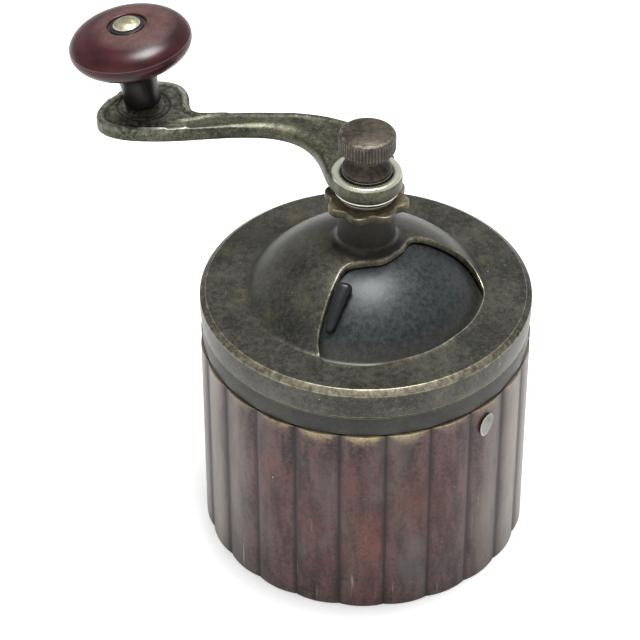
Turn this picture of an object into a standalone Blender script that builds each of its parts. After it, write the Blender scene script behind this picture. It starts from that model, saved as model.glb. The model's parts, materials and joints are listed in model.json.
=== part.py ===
"""Hand-cranked coffee mill: a fluted can, a domed head with a turning shutter, a conical
burr set on a vertical spindle, and an S-shaped crank with a turning knob.

The origin is the centre of the underside, +Z is up and -Y is the front.
Lengths are in millimetres; MM turns them into metres where a shape is made.
"""

import math

import bmesh
import bpy
from mathutils import Matrix

MM = 0.001
GAP = 0.3            # clearance between pieces that touch
RUN = 0.1            # radial clearance of a running fit
TAU = 2.0 * math.pi

# Can
CAN_TOP = 68.9
FLUTES = 23
FLUTE_START = math.radians(-160.93)
FLUTE_HEIGHT = 0.75
FLUTE_POINTS = 6
VALLEY_TOP = 49.6
VALLEY_BASE = 50.0
CAN_BORE = 48.2
LIP_BORE = 44.9
LIP_TOP = 0.8
PLATE_TOP = 2.3

# Head
BODY_R = 50.0
COLLAR_R = 49.55
COLLAR_BASE = CAN_TOP + GAP
COLLAR_TOP = 75.6
SPIGOT_R = 47.8
SPIGOT_BORE = 46.2
SPIGOT_BASE = 58.0
SHELF_BASE = 73.4
SHELF_BORE = 40.5
COVER_BASE = COLLAR_TOP + GAP
COVER_FLAT = 85.5
COVER_SHEET = 2.0
BEVEL_IN = 1.75
BEVEL_DROP = 1.2
DOME_Z = 60.5
DOME_R = 43.6
NECK_R = 8.6
NECK_TOP = 116.0
NECK_FILLET = 3.5
FOOT_FILLET = 2.5
BUSH_R = 6.5

# Shutter
SHUTTER_R = 41.0
SHUTTER_SHEET = 1.2
SHUTTER_BORE = 9.0
SHUTTER_FLANGE_R = 47.4
SHUTTER_TOP = 83.1
SHUTTER_BASE = 82.1
SHUTTER_TURN = math.radians(-134.0)   # its own aperture, from the cover's opening
TAB_ANGLE = math.radians(-110.5)

# Hopper and burrs
HOPPER_TOP = SHUTTER_BASE - GAP
HOPPER_R = 41.4
HOPPER_BORE = 40.0
HOPPER_FLANGE_R = 45.6
THROAT_R = 17.2
BURR_TOP = 48.0
BURR_BASE = 30.0
BURR_R = 24.0
BRIDGE_BASE = 24.0
BURR_SCREW_R = 21.8
HOPPER_SCREW_R = 43.5

# Spindle, nuts and washers
SHAFT_R = 4.0
JOURNAL_R = 3.0
THREAD_R = 2.9
SQUARE = 5.6
SPINDLE_BASE = 19.0
SHOULDER_Z = 73.7
SQUARE_BASE = 121.8
NUT_BASE = NECK_TOP + GAP
NUT_TOP = 118.9
NUT_R = 11.65
NUT_LOBES = 8
HUB_BASE = 122.5
ARM_BASE = 123.0
ARM_TOP = 127.5
SKIRT_R = 7.4
HEAD_BASE = 134.8
HEAD_TOP = 141.6
HEAD_R = 8.5

# Crank and knob
HUB_R = 10.4
EYE_EDGE = [(-53.6, 34.0), (-53.9, 37.5), (-54.9, 41.2), (-57.0, 44.4), (-60.4, 46.2), (-64.4, 46.6), (-69.0, 45.4),
            (-73.4, 42.8), (-76.9, 39.2), (-79.4, 35.2), (-81.0, 31.2), (-81.2, 27.6), (-80.1, 24.6),
            (-77.6, 22.3), (-74.2, 20.8), (-69.6, 19.9), (-62.3, 19.7)]
FRONT_EDGE = [(-55.2, 20.2), (-48.0, 21.1), (-40.9, 21.9), (-33.8, 22.1), (-28.5, 21.6), (-23.5, 19.9), (-19.6, 17.2),
              (-16.6, 13.4), (-14.6, 9.3), (-13.3, 5.2), (-12.3, 1.4), (-11.1, -1.8)]
BACK_EDGE = [(6.9, 11.8), (3.6, 18.0), (-2.0, 23.6), (-8.5, 27.1), (-15.0, 29.3), (-23.0, 30.5), (-32.0, 30.8),
             (-41.2, 30.4), (-47.0, 30.0), (-50.6, 30.0), (-52.8, 31.2)]
KNOB_FOOT = (-67.5, 34.0, ARM_TOP)
KNOB_LEAN = math.radians(-7.3)
KNOB_R = 18.4
KNOB_MIDDLE = 21.6
KNOB_HALF = 6.6
KNOB_FLOOR = 1.0
KNOB_SEAT = 27.2
KNOB_TOP = 28.3
PIN_R = 2.3

ROUND = 48           # steps round a large turned piece
SMALL = 24           # steps round a small turned piece
TINY = 14            # steps round a screw, a stud or a hole


for old in list(bpy.data.objects):
    bpy.data.objects.remove(old, do_unlink=True)


def collection(name):
    made = bpy.data.collections.new(name)
    bpy.context.scene.collection.children.link(made)
    return made


PARTS = collection("coffee_grinder_mill")
CUTTERS = collection("cutters")


def material(name, colour, roughness, metallic):
    made = bpy.data.materials.new(name)
    made.use_nodes = True
    shader = made.node_tree.nodes["Principled BSDF"]
    shader.inputs["Base Color"].default_value = (*colour, 1.0)
    shader.inputs["Roughness"].default_value = roughness
    shader.inputs["Metallic"].default_value = metallic
    made.diffuse_color = (*colour, 1.0)
    return made


CAN_BROWN = material("aged_copper_can", (0.16, 0.07, 0.05), 0.42, 0.7)
DARK_BRONZE = material("dark_bronze_cover", (0.075, 0.06, 0.045), 0.45, 0.8)
BLACK_SHUTTER = material("black_shutter", (0.03, 0.035, 0.04), 0.32, 0.6)
ARM_BRONZE = material("worn_bronze_arm", (0.12, 0.11, 0.08), 0.45, 0.85)
STEEL = material("plain_steel", (0.42, 0.41, 0.38), 0.35, 1.0)
DARK_STEEL = material("dark_steel", (0.12, 0.11, 0.10), 0.5, 0.9)
BURR_IRON = material("burr_iron", (0.2, 0.2, 0.2), 0.55, 0.9)
NUT_BROWN = material("brown_steel_nut", (0.11, 0.06, 0.045), 0.5, 0.7)
BRASS = material("brass", (0.55, 0.46, 0.28), 0.35, 1.0)
BAKELITE = material("burgundy_knob", (0.09, 0.012, 0.015), 0.18, 0.0)


def baked(obj):
    """Turn what the object evaluates to into its own mesh."""
    bpy.context.view_layer.update()
    graph = bpy.context.evaluated_depsgraph_get()
    mesh = bpy.data.meshes.new_from_object(obj.evaluated_get(graph))
    obj.modifiers.clear()
    obj.data = mesh
    return obj


def finished(obj, surface, sharp=35.0):
    """Shade a part smooth between its hard edges and give it its material."""
    baked(obj)
    obj.data.shade_smooth()
    obj.data.set_sharp_from_angle(angle=math.radians(sharp))
    obj.data.materials.clear()
    obj.data.materials.append(surface)
    return obj


def placed(name, mesh, cutter=False):
    obj = bpy.data.objects.new(name, mesh)
    if cutter:
        CUTTERS.objects.link(obj)
        obj.hide_render = True
        obj.display_type = "WIRE"
    else:
        PARTS.objects.link(obj)
    return obj


def turned(name, profile, steps=SMALL, cutter=False):
    """Turn (radius, height) points about Z. The outer side runs downwards; a profile that
    starts on the axis is a solid, and any other closes into a ring."""
    mesh = bpy.data.meshes.new(name)
    points = [(r * MM, 0.0, z * MM) for r, z in profile]
    edges = [(i, i + 1) for i in range(len(points) - 1)]
    if profile[0][0] > 0.0:
        edges.append((len(points) - 1, 0))
    mesh.from_pydata(points, edges, [])
    obj = placed(name, mesh, cutter)
    screw = obj.modifiers.new("Screw", "SCREW")
    screw.steps = steps
    screw.render_steps = steps
    screw.use_merge_vertices = True
    screw.merge_threshold = 0.00001
    return baked(obj)


def ring(name, bore, radius, base, top, steps=SMALL, cutter=False):
    return turned(name, [(radius, top), (radius, base), (bore, base), (bore, top)], steps, cutter)


def rod(name, radius, base, top, steps=SMALL, cutter=False):
    return turned(name, [(0.0, top), (radius, top), (radius, base), (0.0, base)], steps, cutter)


def prism(name, outline, base, top, cutter=False):
    """Extrude a flat outline of (x, y) points between two heights."""
    curve = bpy.data.curves.new(name + "_outline", "CURVE")
    curve.dimensions = "2D"
    curve.fill_mode = "BOTH"
    curve.extrude = 0.5 * (top - base) * MM
    spline = curve.splines.new("POLY")
    spline.points.add(len(outline) - 1)
    for point, (x, y) in zip(spline.points, outline):
        point.co = (x * MM, y * MM, 0.0, 1.0)
    spline.use_cyclic_u = True
    flat = placed(name + "_outline", curve, True)
    obj = meshed(flat, name, cutter)
    obj.data.transform(Matrix.Translation((0.0, 0.0, 0.5 * (top + base) * MM)))
    return obj


def meshed(source, name, cutter=False):
    """Replace a curve object by a mesh with its caps welded on."""
    bpy.context.view_layer.update()
    graph = bpy.context.evaluated_depsgraph_get()
    mesh = bpy.data.meshes.new_from_object(source.evaluated_get(graph))
    work = bmesh.new()
    work.from_mesh(mesh)
    bmesh.ops.remove_doubles(work, verts=work.verts, dist=0.000001)
    bmesh.ops.recalc_face_normals(work, faces=work.faces)
    work.to_mesh(mesh)
    work.free()
    obj = placed(name, mesh, cutter)
    obj.matrix_world = source.matrix_world
    bpy.data.objects.remove(source, do_unlink=True)
    return obj


def toothed(name, teeth, base, top, base_r, top_r, depth, twist=0.0, cutter=False):
    """A cone with alternate corners pulled in by the teeth's depth. The count is even."""
    work = bmesh.new()
    bmesh.ops.create_cone(work, cap_ends=True, segments=2 * teeth, radius1=base_r * MM,
                          radius2=top_r * MM, depth=(top - base) * MM)
    for vert in work.verts:
        step = round(math.atan2(vert.co.y, vert.co.x) / (math.pi / teeth))
        radius = base_r if vert.co.z < 0.0 else top_r
        if step % 2:
            radius -= depth
        angle = step * math.pi / teeth + (twist if vert.co.z > 0.0 else 0.0)
        vert.co.x = radius * MM * math.cos(angle)
        vert.co.y = radius * MM * math.sin(angle)
        vert.co.z += 0.5 * (top + base) * MM
    mesh = bpy.data.meshes.new(name)
    work.to_mesh(mesh)
    work.free()
    return placed(name, mesh, cutter)


def block(name, size, centre, angle=0.0, cutter=False):
    """A box whose centre is turned with it about Z."""
    work = bmesh.new()
    bmesh.ops.create_cube(work, size=1.0)
    scale = Matrix.Diagonal((size[0] * MM, size[1] * MM, size[2] * MM, 1.0))
    shift = Matrix.Translation([c * MM for c in centre])
    bmesh.ops.transform(work, matrix=Matrix.Rotation(angle, 4, "Z") @ shift @ scale, verts=work.verts)
    mesh = bpy.data.meshes.new(name)
    work.to_mesh(mesh)
    work.free()
    return placed(name, mesh, cutter)


def combine(obj, others, operation="DIFFERENCE"):
    """Cut the object by the others, or join or intersect it with them."""
    for other in others:
        step = obj.modifiers.new(operation, "BOOLEAN")
        step.operation = operation
        step.solver = "EXACT"
        step.object = other
    baked(obj)
    return obj


def joined(obj, others):
    combine(obj, others, "UNION")
    for other in others:
        bpy.data.objects.remove(other, do_unlink=True)
    return obj


def arc(centre_x, centre_y, radius, start, end, steps):
    """Points of an arc; the angles are in degrees."""
    angles = [math.radians(start + (end - start) * i / steps) for i in range(steps + 1)]
    return [(centre_x + radius * math.cos(a), centre_y + radius * math.sin(a)) for a in angles]


def smooth(points, steps, closed=False):
    """Points of a Catmull-Rom curve through hand-placed ones."""
    count = len(points)
    made = []
    for i in range(count if closed else count - 1):
        if closed:
            four = [points[(i + k) % count] for k in (-1, 0, 1, 2)]
        else:
            four = [points[min(max(i + k, 0), count - 1)] for k in (-1, 0, 1, 2)]
        for j in range(steps):
            t = j / steps
            weights = (-0.5 * t + t * t - 0.5 * t ** 3, 1.0 - 2.5 * t * t + 1.5 * t ** 3,
                       0.5 * t + 2.0 * t * t - 1.5 * t ** 3, 0.5 * (t ** 3 - t * t))
            made.append(tuple(sum(w * p[axis] for w, p in zip(weights, four)) for axis in (0, 1)))
    if not closed:
        made.append(points[-1])
    return made


def around(count, radius, first):
    """(angle, x, y) of evenly spaced places on a circle."""
    angles = [math.radians(first) + TAU * i / count for i in range(count)]
    return [(a, radius * math.cos(a), radius * math.sin(a)) for a in angles]


def holes(name, places, radius, base, top):
    made = []
    for i, (_, x, y) in enumerate(places):
        hole = rod(f"{name}_{i + 1}", radius, base, top, TINY, True)
        hole.data.transform(Matrix.Translation((x * MM, y * MM, 0.0)))
        made.append(hole)
    return made


def fluted_outline(valley):
    points = []
    for i in range(FLUTES * FLUTE_POINTS):
        lobe = (i % FLUTE_POINTS) / FLUTE_POINTS
        radius = valley + FLUTE_HEIGHT * math.sin(math.pi * lobe) ** 0.8
        angle = FLUTE_START + TAU * i / (FLUTES * FLUTE_POINTS)
        points.append((radius * math.cos(angle), radius * math.sin(angle)))
    return points


STUDS = around(2, 1.0, -45.0)
STUD_Z = 62.0
STUD_R = 1.2
STUD_HEAD = (4.0, 2.6)
STUD_TILT = math.radians(-16.0)


def stud_matrix(angle):
    """Lays a piece turned about Z along a radius at the studs' height."""
    lay = Matrix.Rotation(math.pi / 2.0, 4, "Y")
    return Matrix.Translation((0.0, 0.0, STUD_Z * MM)) @ Matrix.Rotation(angle, 4, "Z") @ lay


def make_can():
    can = prism("fluted_can", fluted_outline(VALLEY_TOP), 0.0, CAN_TOP)
    for vert in can.data.vertices:
        if vert.co.z < 0.5 * CAN_TOP * MM:
            vert.co.x *= VALLEY_BASE / VALLEY_TOP
            vert.co.y *= VALLEY_BASE / VALLEY_TOP
    cavity = turned("can_cavity", [(0.0, CAN_TOP + 1.0), (CAN_BORE, CAN_TOP + 1.0), (CAN_BORE, LIP_TOP),
                                   (LIP_BORE, LIP_TOP), (LIP_BORE, -1.0), (0.0, -1.0)], ROUND, True)
    drills = []
    for i, (angle, _, _) in enumerate(STUDS):
        drill = rod(f"stud_drill_{i + 1}", STUD_R + GAP, CAN_BORE - 3.0, BODY_R + 3.0, TINY, True)
        drill.data.transform(stud_matrix(angle))
        drills.append(drill)
    combine(can, [cavity] + drills)
    finished(can, CAN_BROWN, 25.0)
    for i, (angle, _, _) in enumerate(STUDS):
        head_base = BODY_R + FLUTE_HEIGHT + 0.1
        stud = turned(f"locating_stud_{i + 1}", [
            (0.0, head_base + 0.6), (0.6, head_base + 0.5), (1.0, head_base), (0.0, head_base - 0.3)], SMALL)
        stud.data.transform(Matrix.Rotation(STUD_TILT, 4, "Z") @ Matrix.Diagonal((*STUD_HEAD, 1.0, 1.0)))
        joined(stud, [rod("stud_pin", STUD_R, SPIGOT_BORE - 0.2, head_base + 0.2, TINY, True)])
        stud.data.transform(stud_matrix(angle))
        finished(stud, STEEL)
    plate = turned("base_plate", [(0.0, PLATE_TOP), (CAN_BORE - GAP, PLATE_TOP), (CAN_BORE - GAP, LIP_TOP + GAP),
                                  (LIP_BORE - GAP, LIP_TOP + GAP), (LIP_BORE - GAP, 0.0), (0.0, 0.0)], ROUND)
    finished(plate, DARK_STEEL)


def opening_outline(turn=0.0):
    """Feed opening in plan, from hand-placed (radius, degrees) corners."""
    corners = [(17.5, -117.5), (27.0, -116.0), (34.0, -113.5), (37.9, -106.0), (37.9, -95.0),
               (36.3, -78.0), (35.6, -55.0), (35.5, -30.0), (35.5, -8.0), (33.6, 4.0), (29.5, 11.3),
               (22.0, 13.0), (15.2, 12.0), (12.2, 0.0), (11.3, -20.0), (10.9, -60.0), (11.0, -95.0),
               (12.3, -111.0), (14.6, -117.0)]
    points = []
    for radius, degrees in corners:
        angle = math.radians(degrees) + turn
        points.append((radius * math.cos(angle), radius * math.sin(angle)))
    return smooth(points, 3, True)


def cover_outside():
    """Outer profile of the cover from the neck's top to the rim's lower edge."""
    neck_z = DOME_Z + math.sqrt((DOME_R + NECK_FILLET) ** 2 - (NECK_R + NECK_FILLET) ** 2)
    neck_tilt = math.degrees(math.atan2(neck_z - DOME_Z, NECK_R + NECK_FILLET))
    foot_z = COVER_FLAT + FOOT_FILLET
    foot_r = math.sqrt((DOME_R + FOOT_FILLET) ** 2 - (foot_z - DOME_Z) ** 2)
    foot_tilt = math.degrees(math.atan2(foot_z - DOME_Z, foot_r))
    points = [(NECK_R - 0.5, NECK_TOP), (NECK_R, NECK_TOP - 0.5)]
    points += arc(NECK_R + NECK_FILLET, neck_z, NECK_FILLET, 180.0, 180.0 + neck_tilt, 4)
    points += arc(0.0, DOME_Z, DOME_R, neck_tilt, foot_tilt, 9)[1:]
    points += arc(foot_r, foot_z, FOOT_FILLET, 180.0 + foot_tilt, 270.0, 3)[1:]
    points += [(BODY_R - BEVEL_IN, COVER_FLAT), (BODY_R, COVER_FLAT - BEVEL_DROP), (BODY_R - GAP, COVER_BASE)]
    return points


def sphere_rise(radius, at):
    """Height of a sphere about the dome's centre at a distance from the axis."""
    return DOME_Z + math.sqrt(radius * radius - at * at)


def dome_arc(radius, from_r, to_r, steps):
    """Points on a sphere about the dome's centre between two distances from the axis."""
    start = math.degrees(math.acos(from_r / radius))
    end = math.degrees(math.acos(to_r / radius))
    return arc(0.0, DOME_Z, radius, start, end, steps)


def make_cover():
    under = COVER_FLAT - COVER_SHEET
    inside_r = DOME_R - COVER_SHEET
    foot = math.sqrt(inside_r ** 2 - (under - DOME_Z) ** 2)
    bore = BUSH_R + GAP
    rim_bore = SPIGOT_R + 0.1
    profile = cover_outside() + [(rim_bore, COVER_BASE), (rim_bore, under)]
    profile += dome_arc(inside_r, foot, bore, 6) + [(bore, NECK_TOP)]
    cover = turned("top_cover", profile, ROUND)
    opening = prism("feed_opening", opening_outline(), SHUTTER_BASE, NECK_TOP - 4.0, True)
    combine(cover, [opening])
    finished(cover, DARK_BRONZE, 30.0)


def make_shutter():
    inside_r = SHUTTER_R - SHUTTER_SHEET
    foot_out = math.sqrt(SHUTTER_R ** 2 - (SHUTTER_TOP - DOME_Z) ** 2)
    foot_in = math.sqrt(inside_r ** 2 - (SHUTTER_BASE - DOME_Z) ** 2)
    profile = dome_arc(SHUTTER_R, SHUTTER_BORE, foot_out, 7)
    profile += [(SHUTTER_FLANGE_R, SHUTTER_TOP), (SHUTTER_FLANGE_R, SHUTTER_BASE)]
    profile += dome_arc(inside_r, foot_in, SHUTTER_BORE, 5)
    shutter = turned("shutter", profile, ROUND)
    aperture = prism("shutter_aperture", opening_outline(SHUTTER_TURN), SHUTTER_BASE - 5.0, NECK_TOP - 4.0, True)
    combine(shutter, [aperture])
    finished(shutter, BLACK_SHUTTER, 30.0)


def make_tab():
    """Finger tab: a tapered bar that lies along the dome and stands up through the opening."""
    curve = bpy.data.curves.new("tab_bar", "CURVE")
    curve.dimensions = "3D"
    curve.bevel_depth = 2.0 * MM
    curve.bevel_resolution = 2
    curve.use_fill_caps = True
    bar_r = SHUTTER_R + 1.9
    points = dome_arc(bar_r, 17.3, 28.8, 6)
    spline = curve.splines.new("POLY")
    spline.points.add(len(points) - 1)
    for i, (point, (r, z)) in enumerate(zip(spline.points, points)):
        point.co = (r * MM * math.cos(TAB_ANGLE), r * MM * math.sin(TAB_ANGLE), z * MM, 1.0)
        point.radius = 1.0 - 0.4 * i / (len(points) - 1)
    tab = meshed(placed("tab_bar", curve, True), "shutter_tab")
    ball = turned("tab_seat", [(0.0, DOME_Z + SHUTTER_R + GAP)] + dome_arc(SHUTTER_R + GAP, 0.5, 40.0, 24)
                  + [(40.0, DOME_Z), (0.0, DOME_Z)], ROUND, True)
    combine(tab, [ball])
    finished(tab, BLACK_SHUTTER, 50.0)


def screw_piece(name, place, head_r, shank_r, head_base, head_top, top):
    """Round-head screw that points up, with a slot across its head."""
    angle, x, y = place
    piece = turned(name, [(0.0, top), (shank_r, top), (shank_r, head_top), (head_r, head_top),
                          (head_r, head_base), (0.0, head_base)], TINY)
    slot = block(name + "_slot", (2.5 * head_r, 0.5, 0.8), (0.0, 0.0, head_base), 0.0, True)
    combine(piece, [slot])
    piece.data.transform(Matrix.Translation((x * MM, y * MM, 0.0)) @ Matrix.Rotation(angle, 4, "Z"))
    finished(piece, STEEL)


def make_collar_and_hopper():
    lip = SPIGOT_R - 0.2
    lip_bore = HOPPER_FLANGE_R + GAP
    collar = turned("collar_ring", [
        (lip, 81.0), (lip, COLLAR_TOP), (COLLAR_R, COLLAR_TOP), (COLLAR_R, COLLAR_BASE), (SPIGOT_R, COLLAR_BASE),
        (SPIGOT_R, SPIGOT_BASE), (SPIGOT_BORE, SPIGOT_BASE), (SPIGOT_BORE, SHELF_BASE), (SHELF_BORE, SHELF_BASE),
        (SHELF_BORE, COLLAR_TOP), (lip_bore, COLLAR_TOP), (lip_bore, 81.0)], ROUND)
    places = around(3, HOPPER_SCREW_R, 30.0)
    slots = [block(f"stud_slot_{i + 1}", (6.0, 3.2, 9.0), (SPIGOT_R, 0.0, SPIGOT_BASE + 3.0), angle, True)
             for i, (angle, _, _) in enumerate(STUDS)]
    combine(collar, slots + holes("shelf_hole", places, 1.4, SHELF_BASE - 1.0, COLLAR_TOP + 1.0))
    finished(collar, DARK_BRONZE)
    flange_base = COLLAR_TOP + GAP
    flange_top = flange_base + 1.5
    burr_flange = BURR_TOP + GAP
    hopper = turned("hopper_bowl", [
        (HOPPER_R, HOPPER_TOP), (HOPPER_R, flange_top), (HOPPER_FLANGE_R, flange_top),
        (HOPPER_FLANGE_R, flange_base), (SHELF_BORE - 0.7, flange_base), (THROAT_R + 2.2, burr_flange + 1.4),
        (BURR_R, burr_flange + 1.4), (BURR_R, burr_flange), (THROAT_R, burr_flange), (THROAT_R, burr_flange + 0.7),
        (HOPPER_BORE, 78.0), (HOPPER_BORE, HOPPER_TOP)], ROUND)
    burr_places = around(3, BURR_SCREW_R, 30.0)
    combine(hopper, holes("flange_hole", places, 1.4, flange_base - 1.0, flange_top + 0.3)
            + holes("throat_hole", burr_places, 1.5, burr_flange - 1.0, burr_flange + 2.2))
    finished(hopper, DARK_STEEL)
    for i, place in enumerate(places):
        screw_piece(f"hopper_screw_{i + 1}", place, 1.7, 1.1, SHELF_BASE - 1.6, SHELF_BASE - GAP, flange_top + 0.4)


def make_burrs():
    places = around(3, BURR_SCREW_R, 30.0)
    outer = rod("outer_burr", BURR_R, BURR_BASE, BURR_TOP, 48)
    teeth = toothed("burr_teeth", 12, BURR_BASE - 0.2, BURR_TOP + 0.2, 17.6, 18.2, 1.6, math.radians(18.0), True)
    combine(outer, [teeth] + holes("burr_hole", places, 1.5, BURR_BASE - 1.0, BURR_TOP + 1.0))
    finished(outer, BURR_IRON)
    inner = toothed("inner_burr", 10, BURR_BASE, BURR_TOP - 1.0, 15.2, 9.5, 1.7, math.radians(-30.0))
    combine(inner, [rod("burr_bore", SHAFT_R + GAP, BURR_BASE - 1.0, BURR_TOP, SMALL, True)])
    finished(inner, BURR_IRON)
    bridge = ring("lower_bridge", 18.0, BURR_R, BRIDGE_BASE, BURR_BASE - GAP, 48)
    arms = [block(f"arm_{i}", (13.0, 6.0, 2.5), (12.6, 0.0, 24.5), angle)
            for i, (angle, _, _) in enumerate(around(3, 1.0, 90.0))]
    hub = rod("bridge_hub", 7.5, 21.5, 26.0, 32)
    joined(bridge, [hub] + arms)
    bore = rod("hub_bore", 4.9, 20.0, 28.0, SMALL, True)
    combine(bridge, [bore] + holes("bridge_hole", places, 1.5, BRIDGE_BASE - 1.0, BURR_BASE + 1.0))
    finished(bridge, DARK_STEEL)
    finished(ring("lower_bush", JOURNAL_R + RUN, 4.6, 21.5, 26.0), BRASS)
    for i, place in enumerate(places):
        screw_piece(f"burr_screw_{i + 1}", place, 2.0, 1.2, BRIDGE_BASE - 1.7, BRIDGE_BASE - GAP, 50.4)
    nut = prism("burr_nut", arc(0.0, 0.0, 6.5, 0.0, 300.0, 5), 27.4, BURR_BASE - GAP)
    combine(nut, [rod("burr_nut_bore", JOURNAL_R + GAP, 26.0, 31.0, SMALL, True)])
    finished(nut, STEEL)


def make_neck_bush():
    inner = sphere_rise(DOME_R - COVER_SHEET, BUSH_R + 1.5) - GAP
    bore = SHAFT_R + RUN
    bush = turned("neck_bush", [(BUSH_R, NECK_TOP - GAP), (BUSH_R, inner), (BUSH_R + 1.5, inner),
                                (BUSH_R + 1.5, inner - 1.4), (bore, inner - 1.4), (bore, NECK_TOP - GAP)])
    finished(bush, BRASS)
    washer_top = inner - 1.4 - GAP
    finished(ring("spring_washer", SHAFT_R + 0.2, 7.6, washer_top - 0.7, washer_top), STEEL)
    return washer_top - 0.7


def make_spindle(spring_top):
    spindle = turned("spindle", [
        (0.0, 137.6), (THREAD_R, 137.6), (THREAD_R, SQUARE_BASE), (SHAFT_R, SQUARE_BASE), (SHAFT_R, SHOULDER_Z),
        (5.9, SHOULDER_Z), (5.9, SHOULDER_Z - 3.7), (SHAFT_R, SHOULDER_Z - 3.7), (SHAFT_R, BURR_BASE - 0.1),
        (JOURNAL_R, BURR_BASE - 0.1), (JOURNAL_R, SPINDLE_BASE), (0.0, SPINDLE_BASE)])
    joined(spindle, [block("square", (SQUARE, SQUARE, 5.2), (0.0, 0.0, SQUARE_BASE + 2.4))])
    finished(spindle, STEEL)
    wire = 0.6
    turns = 5
    curve = bpy.data.curves.new("spring_wire", "CURVE")
    curve.dimensions = "3D"
    curve.bevel_depth = wire * MM
    curve.bevel_resolution = 2
    curve.use_fill_caps = True
    steps = 10 * turns
    low = SHOULDER_Z + GAP + wire
    high = spring_top - GAP - wire
    spline = curve.splines.new("POLY")
    spline.points.add(steps)
    for i, point in enumerate(spline.points):
        angle = TAU * turns * i / steps
        height = low + (high - low) * i / steps
        point.co = (5.4 * MM * math.cos(angle), 5.4 * MM * math.sin(angle), height * MM, 1.0)
    finished(meshed(placed("spring_wire", curve, True), "spring"), STEEL, 60.0)


def make_adjuster():
    steps = 8 * NUT_LOBES
    outline = []
    for i in range(steps):
        angle = TAU * i / steps
        radius = NUT_R + 1.1 * math.cos(NUT_LOBES * (angle + math.radians(13.0)))
        outline.append((radius * math.cos(angle), radius * math.sin(angle)))
    nut = prism("adjusting_nut", outline, NUT_BASE, NUT_TOP)
    rounding = nut.modifiers.new("Bevel", "BEVEL")
    rounding.width = 0.5 * MM
    rounding.segments = 1
    rounding.limit_method = "ANGLE"
    rounding.angle_limit = math.radians(60.0)
    baked(nut)
    combine(nut, [rod("nut_bore", SHAFT_R + 0.15, NUT_BASE - 1.0, NUT_TOP + 1.0, SMALL, True)])
    finished(nut, DARK_BRONZE)
    finished(ring("lock_washer", SHAFT_R + 0.2, 8.6, NUT_TOP + GAP, NUT_TOP + 1.4), DARK_STEEL)
    finished(ring("crank_washer", SHAFT_R + 0.2, 9.7, HUB_BASE - 1.0, HUB_BASE - GAP), STEEL)


def arm_outline():
    """Crank in plan: the eye's round end, the front edge, the hub's round end, the back edge."""
    hub = arc(0.0, 0.0, HUB_R, 206.0, 397.0, 22)
    front = smooth(EYE_EDGE + FRONT_EDGE + hub[:1], 2)
    back = smooth(hub[-1:] + BACK_EDGE, 2)
    return front[:-1] + hub + back[1:]


def lean(obj):
    """Stand a piece that was turned about Z on the knob's leaning axis."""
    obj.location = [c * MM for c in KNOB_FOOT]
    obj.rotation_euler = (0.0, KNOB_LEAN, 0.0)
    return obj


def make_crank():
    arm = prism("crank_arm", arm_outline(), ARM_BASE, ARM_TOP)
    joined(arm, [rod("hub_boss", HUB_R - 0.4, HUB_BASE, ARM_BASE + 1.0, 40, True)])
    recess = rod("hub_recess", 7.9, ARM_TOP - 0.6, ARM_TOP + 1.0, 40, True)
    square = block("hub_square", (SQUARE + 0.4, SQUARE + 0.4, 12.0), (0.0, 0.0, HUB_BASE), 0.0, True)
    pin_hole = lean(rod("pin_hole", PIN_R + GAP, -8.0, 4.0, SMALL, True))
    combine(arm, [recess, square, pin_hole])
    finished(arm, ARM_BRONZE)
    finished(ring("nut_washer", THREAD_R + GAP, SKIRT_R, ARM_TOP - 0.3, ARM_TOP + 0.6, 40), STEEL)
    head = turned("thumb_nut", [(0.0, HEAD_TOP), (4.5, HEAD_TOP - 0.15), (HEAD_R - 0.9, HEAD_TOP - 0.6),
                                (HEAD_R + 0.1, HEAD_TOP - 1.4), (HEAD_R + 0.1, HEAD_BASE + 0.7),
                                (HEAD_R - 0.6, HEAD_BASE), (0.0, HEAD_BASE)], 40)
    knurl = toothed("knurl", 40, HEAD_BASE - 1.0, HEAD_TOP + 1.0, HEAD_R, HEAD_R, 0.35, 0.0, True)
    combine(head, [knurl], "INTERSECT")
    neck = turned("neck", [(0.0, HEAD_BASE + 1.0), (5.0, HEAD_BASE + 1.0), (5.0, ARM_TOP + 5.0),
                           (5.9, ARM_TOP + 3.8), (SKIRT_R - 0.3, ARM_TOP + 2.0), (SKIRT_R, ARM_TOP + 0.9),
                           (0.0, ARM_TOP + 0.9)])
    joined(head, [neck])
    combine(head, [rod("nut_thread", THREAD_R + 0.15, ARM_TOP, 138.0, SMALL, True)])
    finished(head, NUT_BROWN)


def make_knob():
    """The knob turns on a riveted pin that leans a little outwards."""
    profile = [(5.8, KNOB_SEAT), (6.2, KNOB_SEAT + 0.5), (8.0, KNOB_TOP - 0.25)]
    profile += [(KNOB_R * math.sin(a) ** 0.72, KNOB_MIDDLE + KNOB_HALF * math.cos(a))
                for a in [math.radians(38.0 + 11.0 * i) for i in range(11)]]
    profile += [(8.6, 14.4), (6.8, 12.7), (5.9, 9.5), (5.6, 5.0), (5.6, KNOB_FLOOR), (PIN_R + GAP, KNOB_FLOOR),
                (PIN_R + GAP, KNOB_SEAT)]
    finished(lean(turned("knob", profile, 40)), BAKELITE)
    head = KNOB_TOP - 0.2
    tail = ARM_BASE - ARM_TOP - 0.85
    rivet = turned("knob_rivet", [
        (0.0, head + 1.5), (1.6, head + 1.3), (3.0, head + 0.8), (4.1, head), (PIN_R, head), (PIN_R, tail),
        (3.8, tail), (3.2, tail - 0.8), (0.0, tail - 1.0)])
    finished(lean(rivet), BRASS)
    finished(lean(ring("rivet_washer", PIN_R + 0.2, 5.2, KNOB_SEAT + GAP, KNOB_SEAT + 0.7)), STEEL)


make_can()
make_collar_and_hopper()
make_cover()
make_shutter()
make_tab()
make_burrs()
make_spindle(make_neck_bush())
make_adjuster()
make_crank()
make_knob()
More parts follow.
